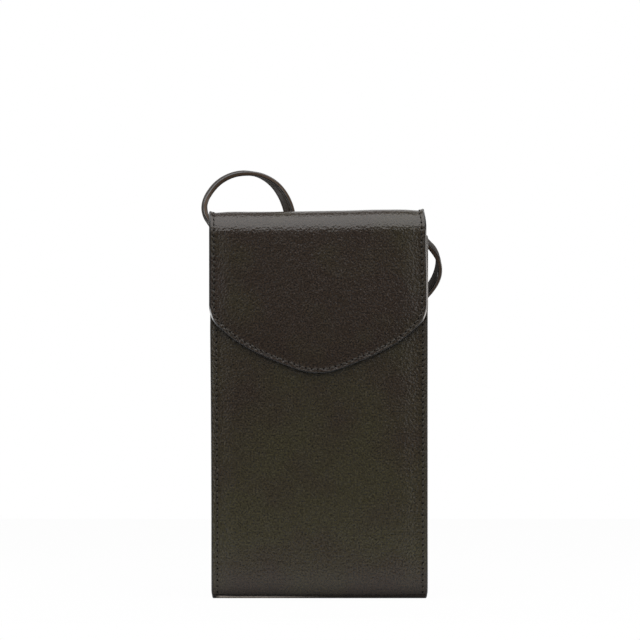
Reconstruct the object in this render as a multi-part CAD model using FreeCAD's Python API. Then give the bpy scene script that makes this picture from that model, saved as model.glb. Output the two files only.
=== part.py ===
"""Flat leather phone pouch with a fold-over flap and a narrow shoulder strap.

The pouch stands on its base, front towards -Y, with the origin under its middle.
One strip of leather makes the front, the folded base and the back, and goes on over
the top as the flap. Recessed gussets close the sides, and the strap's ends are
riveted inside slits near their tops. Millimetres throughout.
"""
import FreeCAD, Part
import math
import os

from FreeCAD import Vector

# Overall sizes
BODY_WIDTH = 100.0
HEIGHT = 180.0
DEPTH = 18.0

# Leather, lining and how they lie together
LEATHER = 1.6
LINING = 0.7
GLUE_LINE = 0.05
GUSSET_LEATHER = 1.2
EDGE_ROUND = 0.6
FLAP_CLEARANCE = 0.3

# Body strip: base folds, the soft roll above the front one, and the mouth
BASE_FOLD_RADIUS = 3.0
BELLY_RADIUS = 80.0
BELLY_ANGLE = 10.0
MOUTH_DROP = 12.0
SEAM_MARGIN = 4.0
RECESS_ABOVE_BASE = 4.0
GUSSET_BEND_INSIDE = 0.5
GUSSET_BEND_OUTSIDE = 0.5
TONGUE_INSET = 0.2

# Flap: outline of its lower edge, and the share of the top arch that each fold takes
FLAP_DROP = 75.8
SHOULDER_RADIUS = 18.0
SHOULDER_SLOPE = 40.0
TIP_RADIUS = 28.0
TIP_SLOPE = 15.0
FOLD_SWEEP = 60.0

# Hidden magnet closure
MAGNET_DIAMETER = 12.0
MAGNET_THICKNESS = 1.0
MAGNET_ABOVE_TIP = 15.0
MAGNET_CLEARANCE = 0.1

# Strap, its slits in the gussets and the tails riveted inside
STRAP_WIDTH = 6.0
STRAP_THICKNESS = 2.0
SLIT_CLEARANCE = 0.3
SLIT_ABOVE_MOUTH = 2.0
TAIL_BEND_RADIUS = 1.5
TAIL_LENGTH = 20.0
TAIL_GAP = 0.1
RIVET_DROP = 13.0
RIVET_SHANK = 2.4
RIVET_CAP = 4.0
RIVET_CAP_HEIGHT = 0.8
RIVET_HOLE_CLEARANCE = 0.1

# Hank of the put-away strap behind the back
HANK_HALF_WIDTH = 21.0
HANK_PITCH = 2.9
HANK_LAYER_GAP = 0.6
HANK_BELOW_TOP = 54.0
HANK_WAIST = 16.0
HANK_DRAW_IN = 10.0
HANK_LEAD_IN = 15.0
HANK_LEAD_OUT = 6.5
TIE_THICKNESS = 1.0
TIE_HEIGHT = 9.0
TIE_CLEARANCE = 0.3
TIE_GAP_TO_BACK = 0.4

# Places that follow from the sizes above
HALF_WIDTH = BODY_WIDTH / 2
WALL = LEATHER + GLUE_LINE + LINING
BACK_FACE = DEPTH / 2
ARCH_RADIUS = DEPTH / 2
ARCH_Z = HEIGHT - ARCH_RADIUS
FRONT_FACE = WALL + FLAP_CLEARANCE - ARCH_RADIUS
MOUTH_Z = HEIGHT - MOUTH_DROP
TIP_Z = HEIGHT - FLAP_DROP
GUSSET_INSET = WALL + GLUE_LINE
GUSSET_FACE = HALF_WIDTH - SEAM_MARGIN
GUSSET_INNER = GUSSET_FACE - GUSSET_LEATHER
GUSSET_MIDDLE = (FRONT_FACE + BACK_FACE) / 2
GUSSET_HALF_DEPTH = (BACK_FACE - FRONT_FACE) / 2 - GUSSET_INSET
SLIT_Z = MOUTH_Z + SLIT_ABOVE_MOUTH
MAGNET_Z = TIP_Z + MAGNET_ABOVE_TIP
NEAR_LAYER = BACK_FACE + TIE_GAP_TO_BACK + TIE_THICKNESS + TIE_CLEARANCE + STRAP_WIDTH / 2
FAR_LAYER = NEAR_LAYER + STRAP_WIDTH + HANK_LAYER_GAP
HANK_BASE = HANK_HALF_WIDTH + STRAP_THICKNESS / 2
HANK_RUN = HEIGHT - HANK_BELOW_TOP - HANK_BASE
HANK_SHOULDER = (HANK_RUN - HANK_WAIST) / 2

# Free loops of the strap beside the pouch: how far each point lies out past the side,
# its share of the way back from the slit to the hank's layer, and its height over the slit
LEFT_LOOP = [
    (0.8, 0.0, 0.0),
    (4.2, 0.06, 3.2),
    (5.0, 0.44, 9.0),
    (2.6, 0.91, 16.2),
    (-3.5, 1.0, 23.3),
    (-14.5, 1.0, 27.8),
    (-26.5, 1.0, 26.0),
    (-34.0, 1.0, 16.5),
    (-37.5, 1.0, 3.0),
    (-34.0, 1.0, -13.0),
]
RIGHT_LOOP = [
    (0.8, 0.0, 0.0),
    (4.2, 0.04, -3.6),
    (6.0, 0.22, -9.8),
    (6.4, 0.45, -17.5),
    (4.0, 0.65, -25.3),
    (-2.5, 0.78, -32.0),
]
# Then the right side's slope down to the hank's end, as shares of the way in X, Y and Z
RIGHT_SLOPE = [(0.25, 0.59, 0.17), (0.52, 0.9, 0.37), (0.76, 1.0, 0.55), (0.92, 1.0, 0.72)]

# Share of the shorter run that an arc may take at a corner of a route
ARC_SHARE = 0.45
# Spacing of the points that the hank's gap is measured on, and the stretch left out along it
GAP_SPACING = 1.5
GAP_STRETCH = 60.0

X_AXIS = Vector(1, 0, 0)
Y_AXIS = Vector(0, 1, 0)


class Outline:
    """A smooth chain of lines and arcs, walked in a plane from a start point and heading."""

    def __init__(self, start, heading, place):
        self.start = start
        self.heading = heading
        self.place = place
        self.steps = []

    def line(self, length):
        self.steps.append((length, 0.0))
        return self

    def arc(self, radius, turn):
        """Turn left by so many degrees, or right where turn is negative."""
        self.steps.append((radius, turn))
        return self

    def edges(self, inset=0.0):
        """The chain moved to its left by inset, with the first and last points."""
        heading = math.radians(self.heading)
        u = self.start[0] - inset * math.sin(heading)
        v = self.start[1] + inset * math.cos(heading)
        first = self.place(u, v)
        found = []
        for size, turn in self.steps:
            begin = self.place(u, v)
            if turn == 0.0:
                u += size * math.cos(heading)
                v += size * math.sin(heading)
                found.append(Part.LineSegment(begin, self.place(u, v)).toShape())
                continue
            side = math.copysign(1.0, turn)
            reach = side * (size - side * inset)
            centre_u = u - reach * math.sin(heading)
            centre_v = v + reach * math.cos(heading)
            half = heading + math.radians(turn) / 2
            heading += math.radians(turn)
            middle = self.place(centre_u + reach * math.sin(half), centre_v - reach * math.cos(half))
            u = centre_u + reach * math.sin(heading)
            v = centre_v - reach * math.cos(heading)
            found.append(Part.Arc(begin, middle, self.place(u, v)).toShape())
        return found, first, self.place(u, v)


def face_of(edges):
    return Part.Face(Part.Wire(Part.__sortEdges__(edges)))


def layer(outline, inner, outer, push):
    """The solid between two insets of an outline, pushed along a vector."""
    near, near_first, near_last = outline.edges(inner)
    far, far_first, far_last = outline.edges(outer)
    caps = [Part.makeLine(near_first, far_first), Part.makeLine(near_last, far_last)]
    return face_of(near + far + caps).extrude(push)


def slab(outline, inset, push):
    """The solid inside an outline, closed by a straight line across its open top."""
    edges, first, last = outline.edges(inset)
    return face_of(edges + [Part.makeLine(last, first)]).extrude(push)


def edges_in_plane(shape, normal, offset):
    """Edges of a shape that lie wholly in the plane at an offset along a normal."""
    found = []
    for edge in shape.Edges:
        points = edge.discretize(5)
        if all(abs(point.dot(normal) - offset) < 1e-6 for point in points):
            found.append(edge)
    return found


def side_rounded(shape, outline):
    """A strip of leather with its outer edges at both sides rounded, as cut edges are dressed."""
    outer = Part.Wire(outline.edges()[0])
    edges = []
    for side in (0.0, BODY_WIDTH):
        rail = outer.translated(Vector(side, 0, 0))
        for edge in edges_in_plane(shape, X_AXIS, side - HALF_WIDTH):
            middle = Part.Vertex(edge.discretize(3)[1])
            if rail.distToShape(middle)[0] < 1e-6:
                edges.append(edge)
    return shape.makeFillet(EDGE_ROUND, edges)


def mirrored(shape):
    return shape.mirror(Vector(0, 0, 0), X_AXIS)


def wrap_outline(x, back_top):
    """Side profile of the body strip: down the front, round the base and up the back."""
    belly = math.radians(BELLY_ANGLE)
    corner = 90.0 - BELLY_ANGLE
    belly_height = BELLY_RADIUS * math.sin(belly)
    belly_shift = BELLY_RADIUS * (1 - math.cos(belly))
    corner_height = BASE_FOLD_RADIUS * (1 - math.sin(belly))
    corner_shift = BASE_FOLD_RADIUS * math.cos(belly)
    base_flat = BACK_FACE - BASE_FOLD_RADIUS - (FRONT_FACE + belly_shift + corner_shift)
    outline = Outline((FRONT_FACE, MOUTH_Z), 270.0, lambda y, z: Vector(x, y, z))
    outline.line(MOUTH_Z - belly_height - corner_height)
    outline.arc(BELLY_RADIUS, BELLY_ANGLE)
    outline.arc(BASE_FOLD_RADIUS, corner)
    outline.line(base_flat)
    outline.arc(BASE_FOLD_RADIUS, 90.0)
    outline.line(back_top - BASE_FOLD_RADIUS)
    return outline


def arch_outline(begin, sweep):
    """A stretch of the top arch, from an angle above the back face."""
    angle = math.radians(begin)
    start = (ARCH_RADIUS * math.cos(angle), ARCH_Z + ARCH_RADIUS * math.sin(angle))
    outline = Outline(start, 90.0 + begin, lambda y, z: Vector(-HALF_WIDTH, y, z))
    return outline.arc(ARCH_RADIUS, sweep)


def flap_outline(y):
    """Front view of the hanging flap: straight sides, round shoulders and a soft point."""
    shoulder_run = SHOULDER_RADIUS * (1 - math.sin(math.radians(SHOULDER_SLOPE)))
    tip_run = TIP_RADIUS * math.sin(math.radians(TIP_SLOPE))
    rise = math.sin(math.radians(SHOULDER_SLOPE)) - math.sin(math.radians(TIP_SLOPE))
    side_radius = (HALF_WIDTH - shoulder_run - tip_run) / rise
    shoulder_drop = SHOULDER_RADIUS * math.cos(math.radians(SHOULDER_SLOPE))
    tip_drop = TIP_RADIUS * (1 - math.cos(math.radians(TIP_SLOPE)))
    fall = math.cos(math.radians(TIP_SLOPE)) - math.cos(math.radians(SHOULDER_SLOPE))
    side = ARCH_Z - TIP_Z - shoulder_drop - side_radius * fall - tip_drop
    outline = Outline((-HALF_WIDTH, ARCH_Z), 270.0, lambda x, z: Vector(x, y, z))
    outline.line(side)
    outline.arc(SHOULDER_RADIUS, 90.0 - SHOULDER_SLOPE)
    outline.arc(side_radius, SHOULDER_SLOPE - TIP_SLOPE)
    outline.arc(TIP_RADIUS, 2 * TIP_SLOPE)
    outline.arc(side_radius, SHOULDER_SLOPE - TIP_SLOPE)
    outline.arc(SHOULDER_RADIUS, 90.0 - SHOULDER_SLOPE)
    outline.line(side)
    return outline


def magnet_disc(inner_face, grow):
    """A disc let into leather from its inner face; grow makes it the pocket it sits in."""
    radius = MAGNET_DIAMETER / 2 + grow
    depth = MAGNET_THICKNESS + grow
    return Part.makeCylinder(radius, depth, Vector(0, inner_face - depth, MAGNET_Z), Y_AXIS)


def body_pieces():
    """The leather strip, its lining and the front magnet."""
    across = Vector(BODY_WIDTH, 0, 0)
    outline = wrap_outline(-HALF_WIDTH, ARCH_Z)
    inner_face = FRONT_FACE + LEATHER
    leather = side_rounded(layer(outline, 0.0, LEATHER, across), outline)
    return {
        "body_leather": leather.cut(magnet_disc(inner_face, MAGNET_CLEARANCE)),
        "body_lining": layer(outline, LEATHER + GLUE_LINE, WALL, across),
        "front_magnet": magnet_disc(inner_face, 0.0),
    }


def arch_pieces():
    """The leather and lining over the top: rear fold, crown and front fold."""
    across = Vector(BODY_WIDTH, 0, 0)
    crown_sweep = 180.0 - 2 * FOLD_SWEEP
    stretches = {
        "rear_fold": arch_outline(0.0, FOLD_SWEEP),
        "crown": arch_outline(FOLD_SWEEP, crown_sweep),
        "front_fold": arch_outline(FOLD_SWEEP + crown_sweep, FOLD_SWEEP),
    }
    pieces = {}
    for name, outline in stretches.items():
        pieces[name + "_leather"] = side_rounded(layer(outline, 0.0, LEATHER, across), outline)
        pieces[name + "_lining"] = layer(outline, LEATHER + GLUE_LINE, WALL, across)
    return pieces


def flap_pieces():
    """The hanging part of the flap with its lining and magnet."""
    inner_face = LEATHER - ARCH_RADIUS
    leather = slab(flap_outline(-ARCH_RADIUS), 0.0, Vector(0, LEATHER, 0))
    face_edges = edges_in_plane(leather, Y_AXIS, -ARCH_RADIUS)
    cut_edges = [edge for edge in face_edges if edge.discretize(3)[1].z < ARCH_Z - 1e-6]
    leather = leather.makeFillet(EDGE_ROUND, cut_edges)
    lining = slab(flap_outline(inner_face + GLUE_LINE), 0.0, Vector(0, LINING, 0))
    return {
        "flap_leather": leather.cut(magnet_disc(inner_face, MAGNET_CLEARANCE)),
        "flap_lining": lining,
        "flap_magnet": magnet_disc(inner_face, 0.0),
    }


def rivet_along_x(outer, inner, grow):
    """The rivet's shank between two faces of the left side; grow makes it the hole."""
    start = Vector(outer, GUSSET_MIDDLE, SLIT_Z - RIVET_DROP)
    return Part.makeCylinder(RIVET_SHANK / 2 + grow, inner - outer, start, X_AXIS)


def rivet_cap(x, direction):
    """A low domed cap: the part of a ball that stands proud of a face."""
    radius = RIVET_CAP / 2
    ball = (radius ** 2 + RIVET_CAP_HEIGHT ** 2) / (2 * RIVET_CAP_HEIGHT)
    centre = Vector(x + direction * (RIVET_CAP_HEIGHT - ball), GUSSET_MIDDLE, SLIT_Z - RIVET_DROP)
    plug = Part.makeCylinder(radius, RIVET_CAP_HEIGHT, Vector(x, centre.y, centre.z), X_AXIS * direction)
    return Part.makeSphere(ball, centre).common(plug)


def side_pieces():
    """Left gusset, strap tail and rivet, and the same mirrored on the right."""
    outline = wrap_outline(-HALF_WIDTH, MOUTH_Z)
    tray = slab(outline, GUSSET_INSET, Vector(SEAM_MARGIN + GUSSET_LEATHER, 0, 0))
    bends = edges_in_plane(tray, X_AXIS, -GUSSET_INNER)
    bends = [edge for edge in bends if edge.discretize(3)[1].z < MOUTH_Z - 1e-6]
    tray = tray.makeFillet(GUSSET_BEND_OUTSIDE, bends)
    recess_half = GUSSET_HALF_DEPTH - GUSSET_LEATHER
    recess_foot = Vector(-HALF_WIDTH, GUSSET_MIDDLE, GUSSET_INSET + RECESS_ABOVE_BASE + recess_half)
    recess_corner = recess_foot - Vector(0, recess_half, 0)
    recess = Part.makeBox(SEAM_MARGIN, 2 * recess_half, MOUTH_Z - recess_foot.z, recess_corner)
    recess = recess.fuse(Part.makeCylinder(recess_half, SEAM_MARGIN, recess_foot, X_AXIS)).removeSplitter()
    bends = edges_in_plane(recess, X_AXIS, -GUSSET_FACE)
    bends = [edge for edge in bends if edge.discretize(3)[1].z < MOUTH_Z - 1e-6]
    recess = recess.makeFillet(GUSSET_BEND_INSIDE, bends)
    slit_depth = STRAP_WIDTH + 2 * SLIT_CLEARANCE
    slit_height = STRAP_THICKNESS + 2 * SLIT_CLEARANCE
    tongue_half = GUSSET_HALF_DEPTH - TONGUE_INSET
    tongue_height = SLIT_Z + slit_height / 2 - MOUTH_Z
    tongue_corner = Vector(-GUSSET_FACE, GUSSET_MIDDLE - tongue_half, MOUTH_Z)
    tongue_centre = Vector(-GUSSET_FACE, GUSSET_MIDDLE, MOUTH_Z + tongue_height)
    tongue = Part.makeBox(GUSSET_LEATHER, 2 * tongue_half, tongue_height, tongue_corner)
    tongue = tongue.fuse(Part.makeCylinder(tongue_half, GUSSET_LEATHER, tongue_centre, X_AXIS))
    slit_corner = Vector(-GUSSET_FACE, GUSSET_MIDDLE - slit_depth / 2, SLIT_Z - slit_height / 2)
    slit = Part.makeBox(GUSSET_LEATHER, slit_depth, slit_height, slit_corner)

    tail_front = GUSSET_MIDDLE - STRAP_WIDTH / 2
    tail_middle = -GUSSET_INNER + TAIL_GAP + STRAP_THICKNESS / 2
    tail_face = tail_middle + STRAP_THICKNESS / 2
    centre_line = Outline((-GUSSET_FACE, SLIT_Z), 0.0, lambda x, z: Vector(x, tail_front, z))
    centre_line.line(tail_middle + GUSSET_FACE - TAIL_BEND_RADIUS)
    centre_line.arc(TAIL_BEND_RADIUS, -90.0)
    centre_line.line(TAIL_LENGTH)
    half = STRAP_THICKNESS / 2
    tail = layer(centre_line, -half, half, Vector(0, STRAP_WIDTH, 0))

    hole = rivet_along_x(-GUSSET_FACE, tail_face, RIVET_HOLE_CLEARANCE)
    rivet = rivet_along_x(-GUSSET_FACE, tail_face, 0.0)
    rivet = rivet.fuse([rivet_cap(-GUSSET_FACE, -1), rivet_cap(tail_face, 1)]).removeSplitter()
    left = {
        "gusset": tray.cut(recess).fuse(tongue).removeSplitter().cut([slit, hole]),
        "strap_tail": tail.cut(hole),
        "strap_rivet": rivet,
    }
    pieces = {"left_" + name: shape for name, shape in left.items()}
    pieces.update({"right_" + name: mirrored(shape) for name, shape in left.items()})
    return pieces


def loop_points(side, slit, hank_end, loop):
    """Places of a free loop's points beside one side of the pouch."""
    points = []
    for out, back, up in loop:
        y = slit.y + back * (hank_end.y - slit.y)
        points.append(Vector(side * (HALF_WIDTH + out), y, slit.z + up))
    return points


def left_route():
    """From the left slit up over the top and down behind to the hank's first run."""
    slit = Vector(-GUSSET_FACE, GUSSET_MIDDLE, SLIT_Z)
    hank_end = Vector(-HANK_HALF_WIDTH, NEAR_LAYER, HANK_BASE + HANK_RUN)
    lead_in = hank_end + Vector(0, 0, HANK_LEAD_IN)
    return [slit] + loop_points(-1, slit, hank_end, LEFT_LOOP) + [lead_in, hank_end]


def right_route():
    """From the right slit down beside the pouch and behind it to the hank's last run."""
    slit = Vector(GUSSET_FACE, GUSSET_MIDDLE, SLIT_Z)
    waist_top = HANK_BASE + HANK_SHOULDER + HANK_WAIST
    hank_end = Vector(HANK_HALF_WIDTH - HANK_DRAW_IN, FAR_LAYER, waist_top)
    lead_out = hank_end + Vector(0, 0, HANK_LEAD_OUT)
    loop = loop_points(1, slit, hank_end, RIGHT_LOOP)
    way = hank_end - loop[-1]
    slope = [loop[-1] + Vector(x * way.x, y * way.y, z * way.z) for x, y, z in RIGHT_SLOPE]
    return [slit] + loop + slope + [lead_out, hank_end]


def rounded_route(name, corners):
    """Straight runs joined by tangent arcs as large as the runs allow; prints the radii."""
    edges = []
    radii = []
    last = corners[0]
    for before, corner, after in zip(corners, corners[1:], corners[2:]):
        back = before - corner
        ahead = after - corner
        cut = ARC_SHARE * min(back.Length, ahead.Length)
        half_turn = (math.pi - back.getAngle(ahead)) / 2
        radius = cut / math.tan(half_turn)
        back.normalize()
        ahead.normalize()
        inward = (back + ahead).normalize()
        begin = corner + back * cut
        end = corner + ahead * cut
        middle = corner + inward * (radius / math.cos(half_turn) - radius)
        edges.append(Part.LineSegment(last, begin).toShape())
        edges.append(Part.Arc(begin, middle, end).toShape())
        radii.append(round(radius, 1))
        last = end
    edges.append(Part.LineSegment(last, corners[-1]).toShape())
    print(name, "bend radii", radii)
    return edges


def strap_along(name, edges):
    """The flat strap swept along a path, its width along Y all the way."""
    path = Part.Wire(edges)
    start = edges[0].valueAt(edges[0].FirstParameter)
    along = edges[0].tangentAt(edges[0].FirstParameter)
    thick = along.cross(Y_AXIS).normalize() * (STRAP_THICKNESS / 2)
    wide = Y_AXIS * (STRAP_WIDTH / 2)
    corners = [start + wide + thick, start + wide - thick, start - wide - thick, start - wide + thick]
    sweep = Part.BRepOffsetAPI.MakePipeShell(path)
    sweep.setBiNormalMode(Y_AXIS)
    sweep.add(Part.makePolygon(corners + corners[:1]))
    sweep.build()
    sweep.makeSolid()
    strap = sweep.shape()
    expected = STRAP_WIDTH * STRAP_THICKNESS * path.Length
    print(name, "length", round(path.Length, 1), "volume over section x length",
          round(strap.Volume / expected, 4))
    return strap


def hank_half_run(begin, shift):
    """Half a hank's run: an S bend of two arcs between two points with upright tangents."""
    side = Vector(shift.x, shift.y, 0)
    half_angle = math.atan2(side.Length, abs(shift.z))
    radius = abs(shift.z) / (2 * math.sin(2 * half_angle))
    quarter = side / 4 + Vector(0, 0, shift.z / 4)
    bulge = radius * (1 - math.cos(half_angle))
    across = side.normalize() * math.sin(math.pi / 2 - half_angle)
    across.z = -math.copysign(math.sin(half_angle), shift.z)
    middle = begin + shift / 2
    first = Part.Arc(begin, begin + quarter - across * bulge, middle)
    second = Part.Arc(middle, middle + quarter + across * bulge, begin + shift)
    return [first.toShape(), second.toShape()]


def hank_path():
    """Two and a half loops in two layers, drawn in at the waist, climbing along one run."""
    wide = HANK_HALF_WIDTH
    narrow = HANK_HALF_WIDTH - HANK_PITCH
    middle_layer = (NEAR_LAYER + FAR_LAYER) / 2
    runs = [
        (-wide, NEAR_LAYER, NEAR_LAYER, NEAR_LAYER),
        (wide, NEAR_LAYER, NEAR_LAYER, NEAR_LAYER),
        (-narrow, NEAR_LAYER, NEAR_LAYER, NEAR_LAYER),
        (narrow, NEAR_LAYER, middle_layer, FAR_LAYER),
        (-narrow, FAR_LAYER, FAR_LAYER, FAR_LAYER),
        (wide, FAR_LAYER, FAR_LAYER, FAR_LAYER),
    ]
    edges = []
    last = None
    for number, (x, begin_y, waist_y, end_y) in enumerate(runs):
        step = 1.0 if x > 0 else -1.0
        begin = Vector(x, begin_y, HANK_BASE if x > 0 else HANK_BASE + HANK_RUN)
        if last is not None:
            crest = (last + begin) / 2 + Vector(0, 0, step * (last - begin).Length / -2)
            edges.append(Part.Arc(last, crest, begin).toShape())
        draw_in = Vector(-step * HANK_DRAW_IN, waist_y - begin_y, step * HANK_SHOULDER)
        edges += hank_half_run(begin, draw_in)
        waist = begin + draw_in
        last = waist + Vector(0, 0, step * HANK_WAIST)
        edges.append(Part.LineSegment(waist, last).toShape())
        if number < len(runs) - 1:
            let_out = Vector(step * HANK_DRAW_IN, end_y - waist_y, step * HANK_SHOULDER)
            edges += hank_half_run(last, let_out)
            last = last + let_out
    return edges


def print_least_gap(edges):
    """Least gap between turns of the hank, on points along its middle line."""
    points = []
    for edge in edges:
        points += edge.discretize(Distance=GAP_SPACING)[:-1]
    apart = int(GAP_STRETCH / GAP_SPACING)
    gaps = []
    for number, point in enumerate(points):
        for other in points[number + apart:]:
            step = other - point
            in_plane = math.hypot(step.x, step.z) - STRAP_THICKNESS
            gaps.append(max(in_plane, abs(step.y) - STRAP_WIDTH))
    print("strap_hank least gap to itself", round(min(gaps), 2))


def tie_band():
    """The band round the hank's waist."""
    half_x = HANK_HALF_WIDTH - HANK_DRAW_IN + STRAP_THICKNESS / 2 + TIE_CLEARANCE
    front = NEAR_LAYER - STRAP_WIDTH / 2 - TIE_CLEARANCE
    back = FAR_LAYER + STRAP_WIDTH / 2 + TIE_CLEARANCE
    bottom = HANK_BASE + HANK_RUN / 2 - TIE_HEIGHT / 2
    depth = back - front
    inside = Part.makeBox(2 * half_x, depth, TIE_HEIGHT, Vector(-half_x, front, bottom))
    corner = Vector(-half_x - TIE_THICKNESS, front - TIE_THICKNESS, bottom)
    width = 2 * (half_x + TIE_THICKNESS)
    outside = Part.makeBox(width, depth + 2 * TIE_THICKNESS, TIE_HEIGHT, corner)
    upright = [edge for edge in outside.Edges if abs(edge.tangentAt(0).z) > 0.5]
    return outside.makeFillet(TIE_THICKNESS, upright).cut(inside)


def strap_pieces():
    """Both free stretches of the strap, the hank between them and its tie."""
    hank = hank_path()
    print_least_gap(hank)
    left = rounded_route("strap_left_run", left_route())
    right = rounded_route("strap_right_run", right_route())
    return {
        "strap_left_run": strap_along("strap_left_run", left),
        "strap_hank": strap_along("strap_hank", hank),
        "strap_right_run": strap_along("strap_right_run", right),
        "strap_tie": tie_band(),
    }


def main():
    os.makedirs("parts", exist_ok=True)
    pieces = {}
    for make in (body_pieces, arch_pieces, flap_pieces, side_pieces, strap_pieces):
        pieces.update(make())
    for name, shape in pieces.items():
        box = shape.BoundBox
        print(name, shape.isValid(), "solids", len(shape.Solids), "volume", round(shape.Volume, 1))
        print("    X %.2f %.2f  Y %.2f %.2f" % (box.XMin, box.XMax, box.YMin, box.YMax),
              " Z %.2f %.2f" % (box.ZMin, box.ZMax))
        shape.exportStep("parts/" + name + ".step")


main()
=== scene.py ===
"""A flat leather phone pouch with a fold-over flap and a narrow shoulder strap.

The pouch stands on its base with its front towards -Y. One strip of leather makes the
front, the base, the back and the flap, and a suede lining follows it inside. All lengths
are in metres; the small helper MM turns millimetres into them.
"""
import math

import bmesh
import bpy
import numpy as np
from bpy.props import FloatProperty, FloatVectorProperty, PointerProperty
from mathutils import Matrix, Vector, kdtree


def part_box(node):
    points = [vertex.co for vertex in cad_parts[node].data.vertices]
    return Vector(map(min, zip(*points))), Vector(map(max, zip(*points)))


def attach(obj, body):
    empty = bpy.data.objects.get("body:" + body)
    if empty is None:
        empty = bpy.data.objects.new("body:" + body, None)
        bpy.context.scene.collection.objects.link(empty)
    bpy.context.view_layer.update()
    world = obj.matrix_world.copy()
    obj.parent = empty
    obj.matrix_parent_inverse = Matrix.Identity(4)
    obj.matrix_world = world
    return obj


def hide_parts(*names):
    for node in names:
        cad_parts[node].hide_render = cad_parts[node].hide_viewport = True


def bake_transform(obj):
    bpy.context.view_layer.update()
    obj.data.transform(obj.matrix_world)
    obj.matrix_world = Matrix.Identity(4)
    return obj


bl_info = {
    "name": "Phone Pouch",
    "version": (1, 0, 0),
    "blender": (4, 5, 0),
    "location": "View3D > Sidebar > Phone Pouch",
    "description": "Makes a flat leather phone pouch with a fold-over flap and a narrow strap",
    "category": "Add Mesh",
}

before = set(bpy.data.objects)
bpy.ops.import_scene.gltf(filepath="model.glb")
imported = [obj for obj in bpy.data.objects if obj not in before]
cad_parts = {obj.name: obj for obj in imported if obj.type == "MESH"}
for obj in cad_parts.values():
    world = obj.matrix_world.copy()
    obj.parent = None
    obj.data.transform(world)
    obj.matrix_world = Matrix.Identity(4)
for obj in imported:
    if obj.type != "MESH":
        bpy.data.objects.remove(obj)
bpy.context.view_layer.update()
MM = 0.001

BODY_LOW, BODY_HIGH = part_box("body_leather")
FLAP_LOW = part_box("flap_leather")[0]
CROWN_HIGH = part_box("crown_leather")[1]


def linear(code):
    """A colour written as an sRGB hex value, as the linear numbers that shaders take."""
    parts = [int(code[place:place + 2], 16) / 255 for place in (0, 2, 4)]
    return [part / 12.92 if part <= 0.04045 else ((part + 0.055) / 1.055) ** 2.4 for part in parts]


def size_property(name, description, millimetres):
    return FloatProperty(name=name, description=description, default=millimetres * MM, unit="LENGTH", precision=5)


def colour_property(name, description, code):
    return FloatVectorProperty(name=name, description=description, subtype="COLOR", size=3, min=0.0, max=1.0,
                               default=linear(code))


class PouchSizes(bpy.types.PropertyGroup):
    """Sizes of the pouch's finish"""

    leather: size_property("Leather", "Thickness of the outer leather", 1.6)
    lining: size_property("Lining", "Thickness of the suede lining", 0.68)
    glue: size_property("Glue line", "Gap between leather and lining", 0.05)
    edge_round: size_property("Edge rounding", "Rounding of the body's dressed cut edges", 0.6)
    flap_round: size_property("Flap edge rounding", "Rounding of the flap's dressed cut edge", 0.8)
    seam_inset: size_property("Seam inset", "Distance of the stitching from the flap's edge", 2.2)
    front_seam_inset: size_property("Front seam inset", "Distance of the stitching from the front's edge", 2.8)
    seam_depth: size_property("Seam depth", "How far the thread pulls the leather in", 0.55)
    pitch: size_property("Stitch pitch", "Length of one stitch", 2.76)
    thread: size_property("Thread", "Thickness of the sewing thread", 0.5)
    needle_hole: size_property("Needle hole", "Width of the holes between stitches", 1.1)
    strap_width: size_property("Strap width", "Width of the strap", 6.0)
    strap_thickness: size_property("Strap thickness", "Thickness of the strap at its middle", 2.15)


class PouchColours(bpy.types.PropertyGroup):
    """Colours of the pouch's materials"""

    leather: colour_property("Leather", "Main colour of the calf leather", "2f2b1b")
    leather_warm: colour_property("Leather, warm", "Warmer patches in the dye", "292018")
    edge_paint: colour_property("Edge paint", "Paint on the cut edges", "120f0c")
    suede: colour_property("Suede", "Lining", "5b4a3a")
    strap: colour_property("Strap leather", "Colour of the strap's face", "2c2621")
    strap_edge: colour_property("Strap edge", "Burnished cut edge of the strap", "43362b")
    # Painted highlight: a pale colour painted on the nose of the fold at the front's foot, at the left, in place of a
    # reflection.
    painted_highlight: colour_property("Painted highlight", "Nose of the fold at the foot", "90877f")
    thread: colour_property("Thread", "Sewing thread", "2c261d")
    # Painted shade: the near-black colour of the caps that stand in for the needle holes.
    hole: colour_property("Needle holes", "Dark of the holes", "0b0908")
    brass: colour_property("Brass", "Rivets", "8a734b")
    nickel: colour_property("Nickel", "Magnets", "a9a8a4")
    floor: colour_property("Floor", "Studio floor", "d0d0d0")


def sizes():
    return bpy.context.scene.pouch_sizes


def colours():
    return bpy.context.scene.pouch_colours


def with_alpha(colour):
    return (colour[0], colour[1], colour[2], 1.0)


def add_node(tree, kind, settings=None, values=None, links=None):
    """Adds a shader node to a tree, sets its options and sockets and links its inputs.

    A link comes from a socket, or from the first output of a node.
    """
    node = tree.nodes.new("ShaderNode" + kind)
    for name, value in (settings or {}).items():
        setattr(node, name, value)
    for socket, value in (values or {}).items():
        node.inputs[socket].default_value = value
    for socket, source in (links or {}).items():
        output = source.outputs[0] if isinstance(source, bpy.types.Node) else source
        tree.links.new(output, node.inputs[socket])
    return node


def new_material(name):
    """An empty node material and its tree, or the one already made under that name and no tree."""
    found = bpy.data.materials.get(name)
    if found:
        return found, None
    material = bpy.data.materials.new(name)
    material.use_nodes = True
    material.node_tree.nodes.clear()
    return material, material.node_tree


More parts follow.
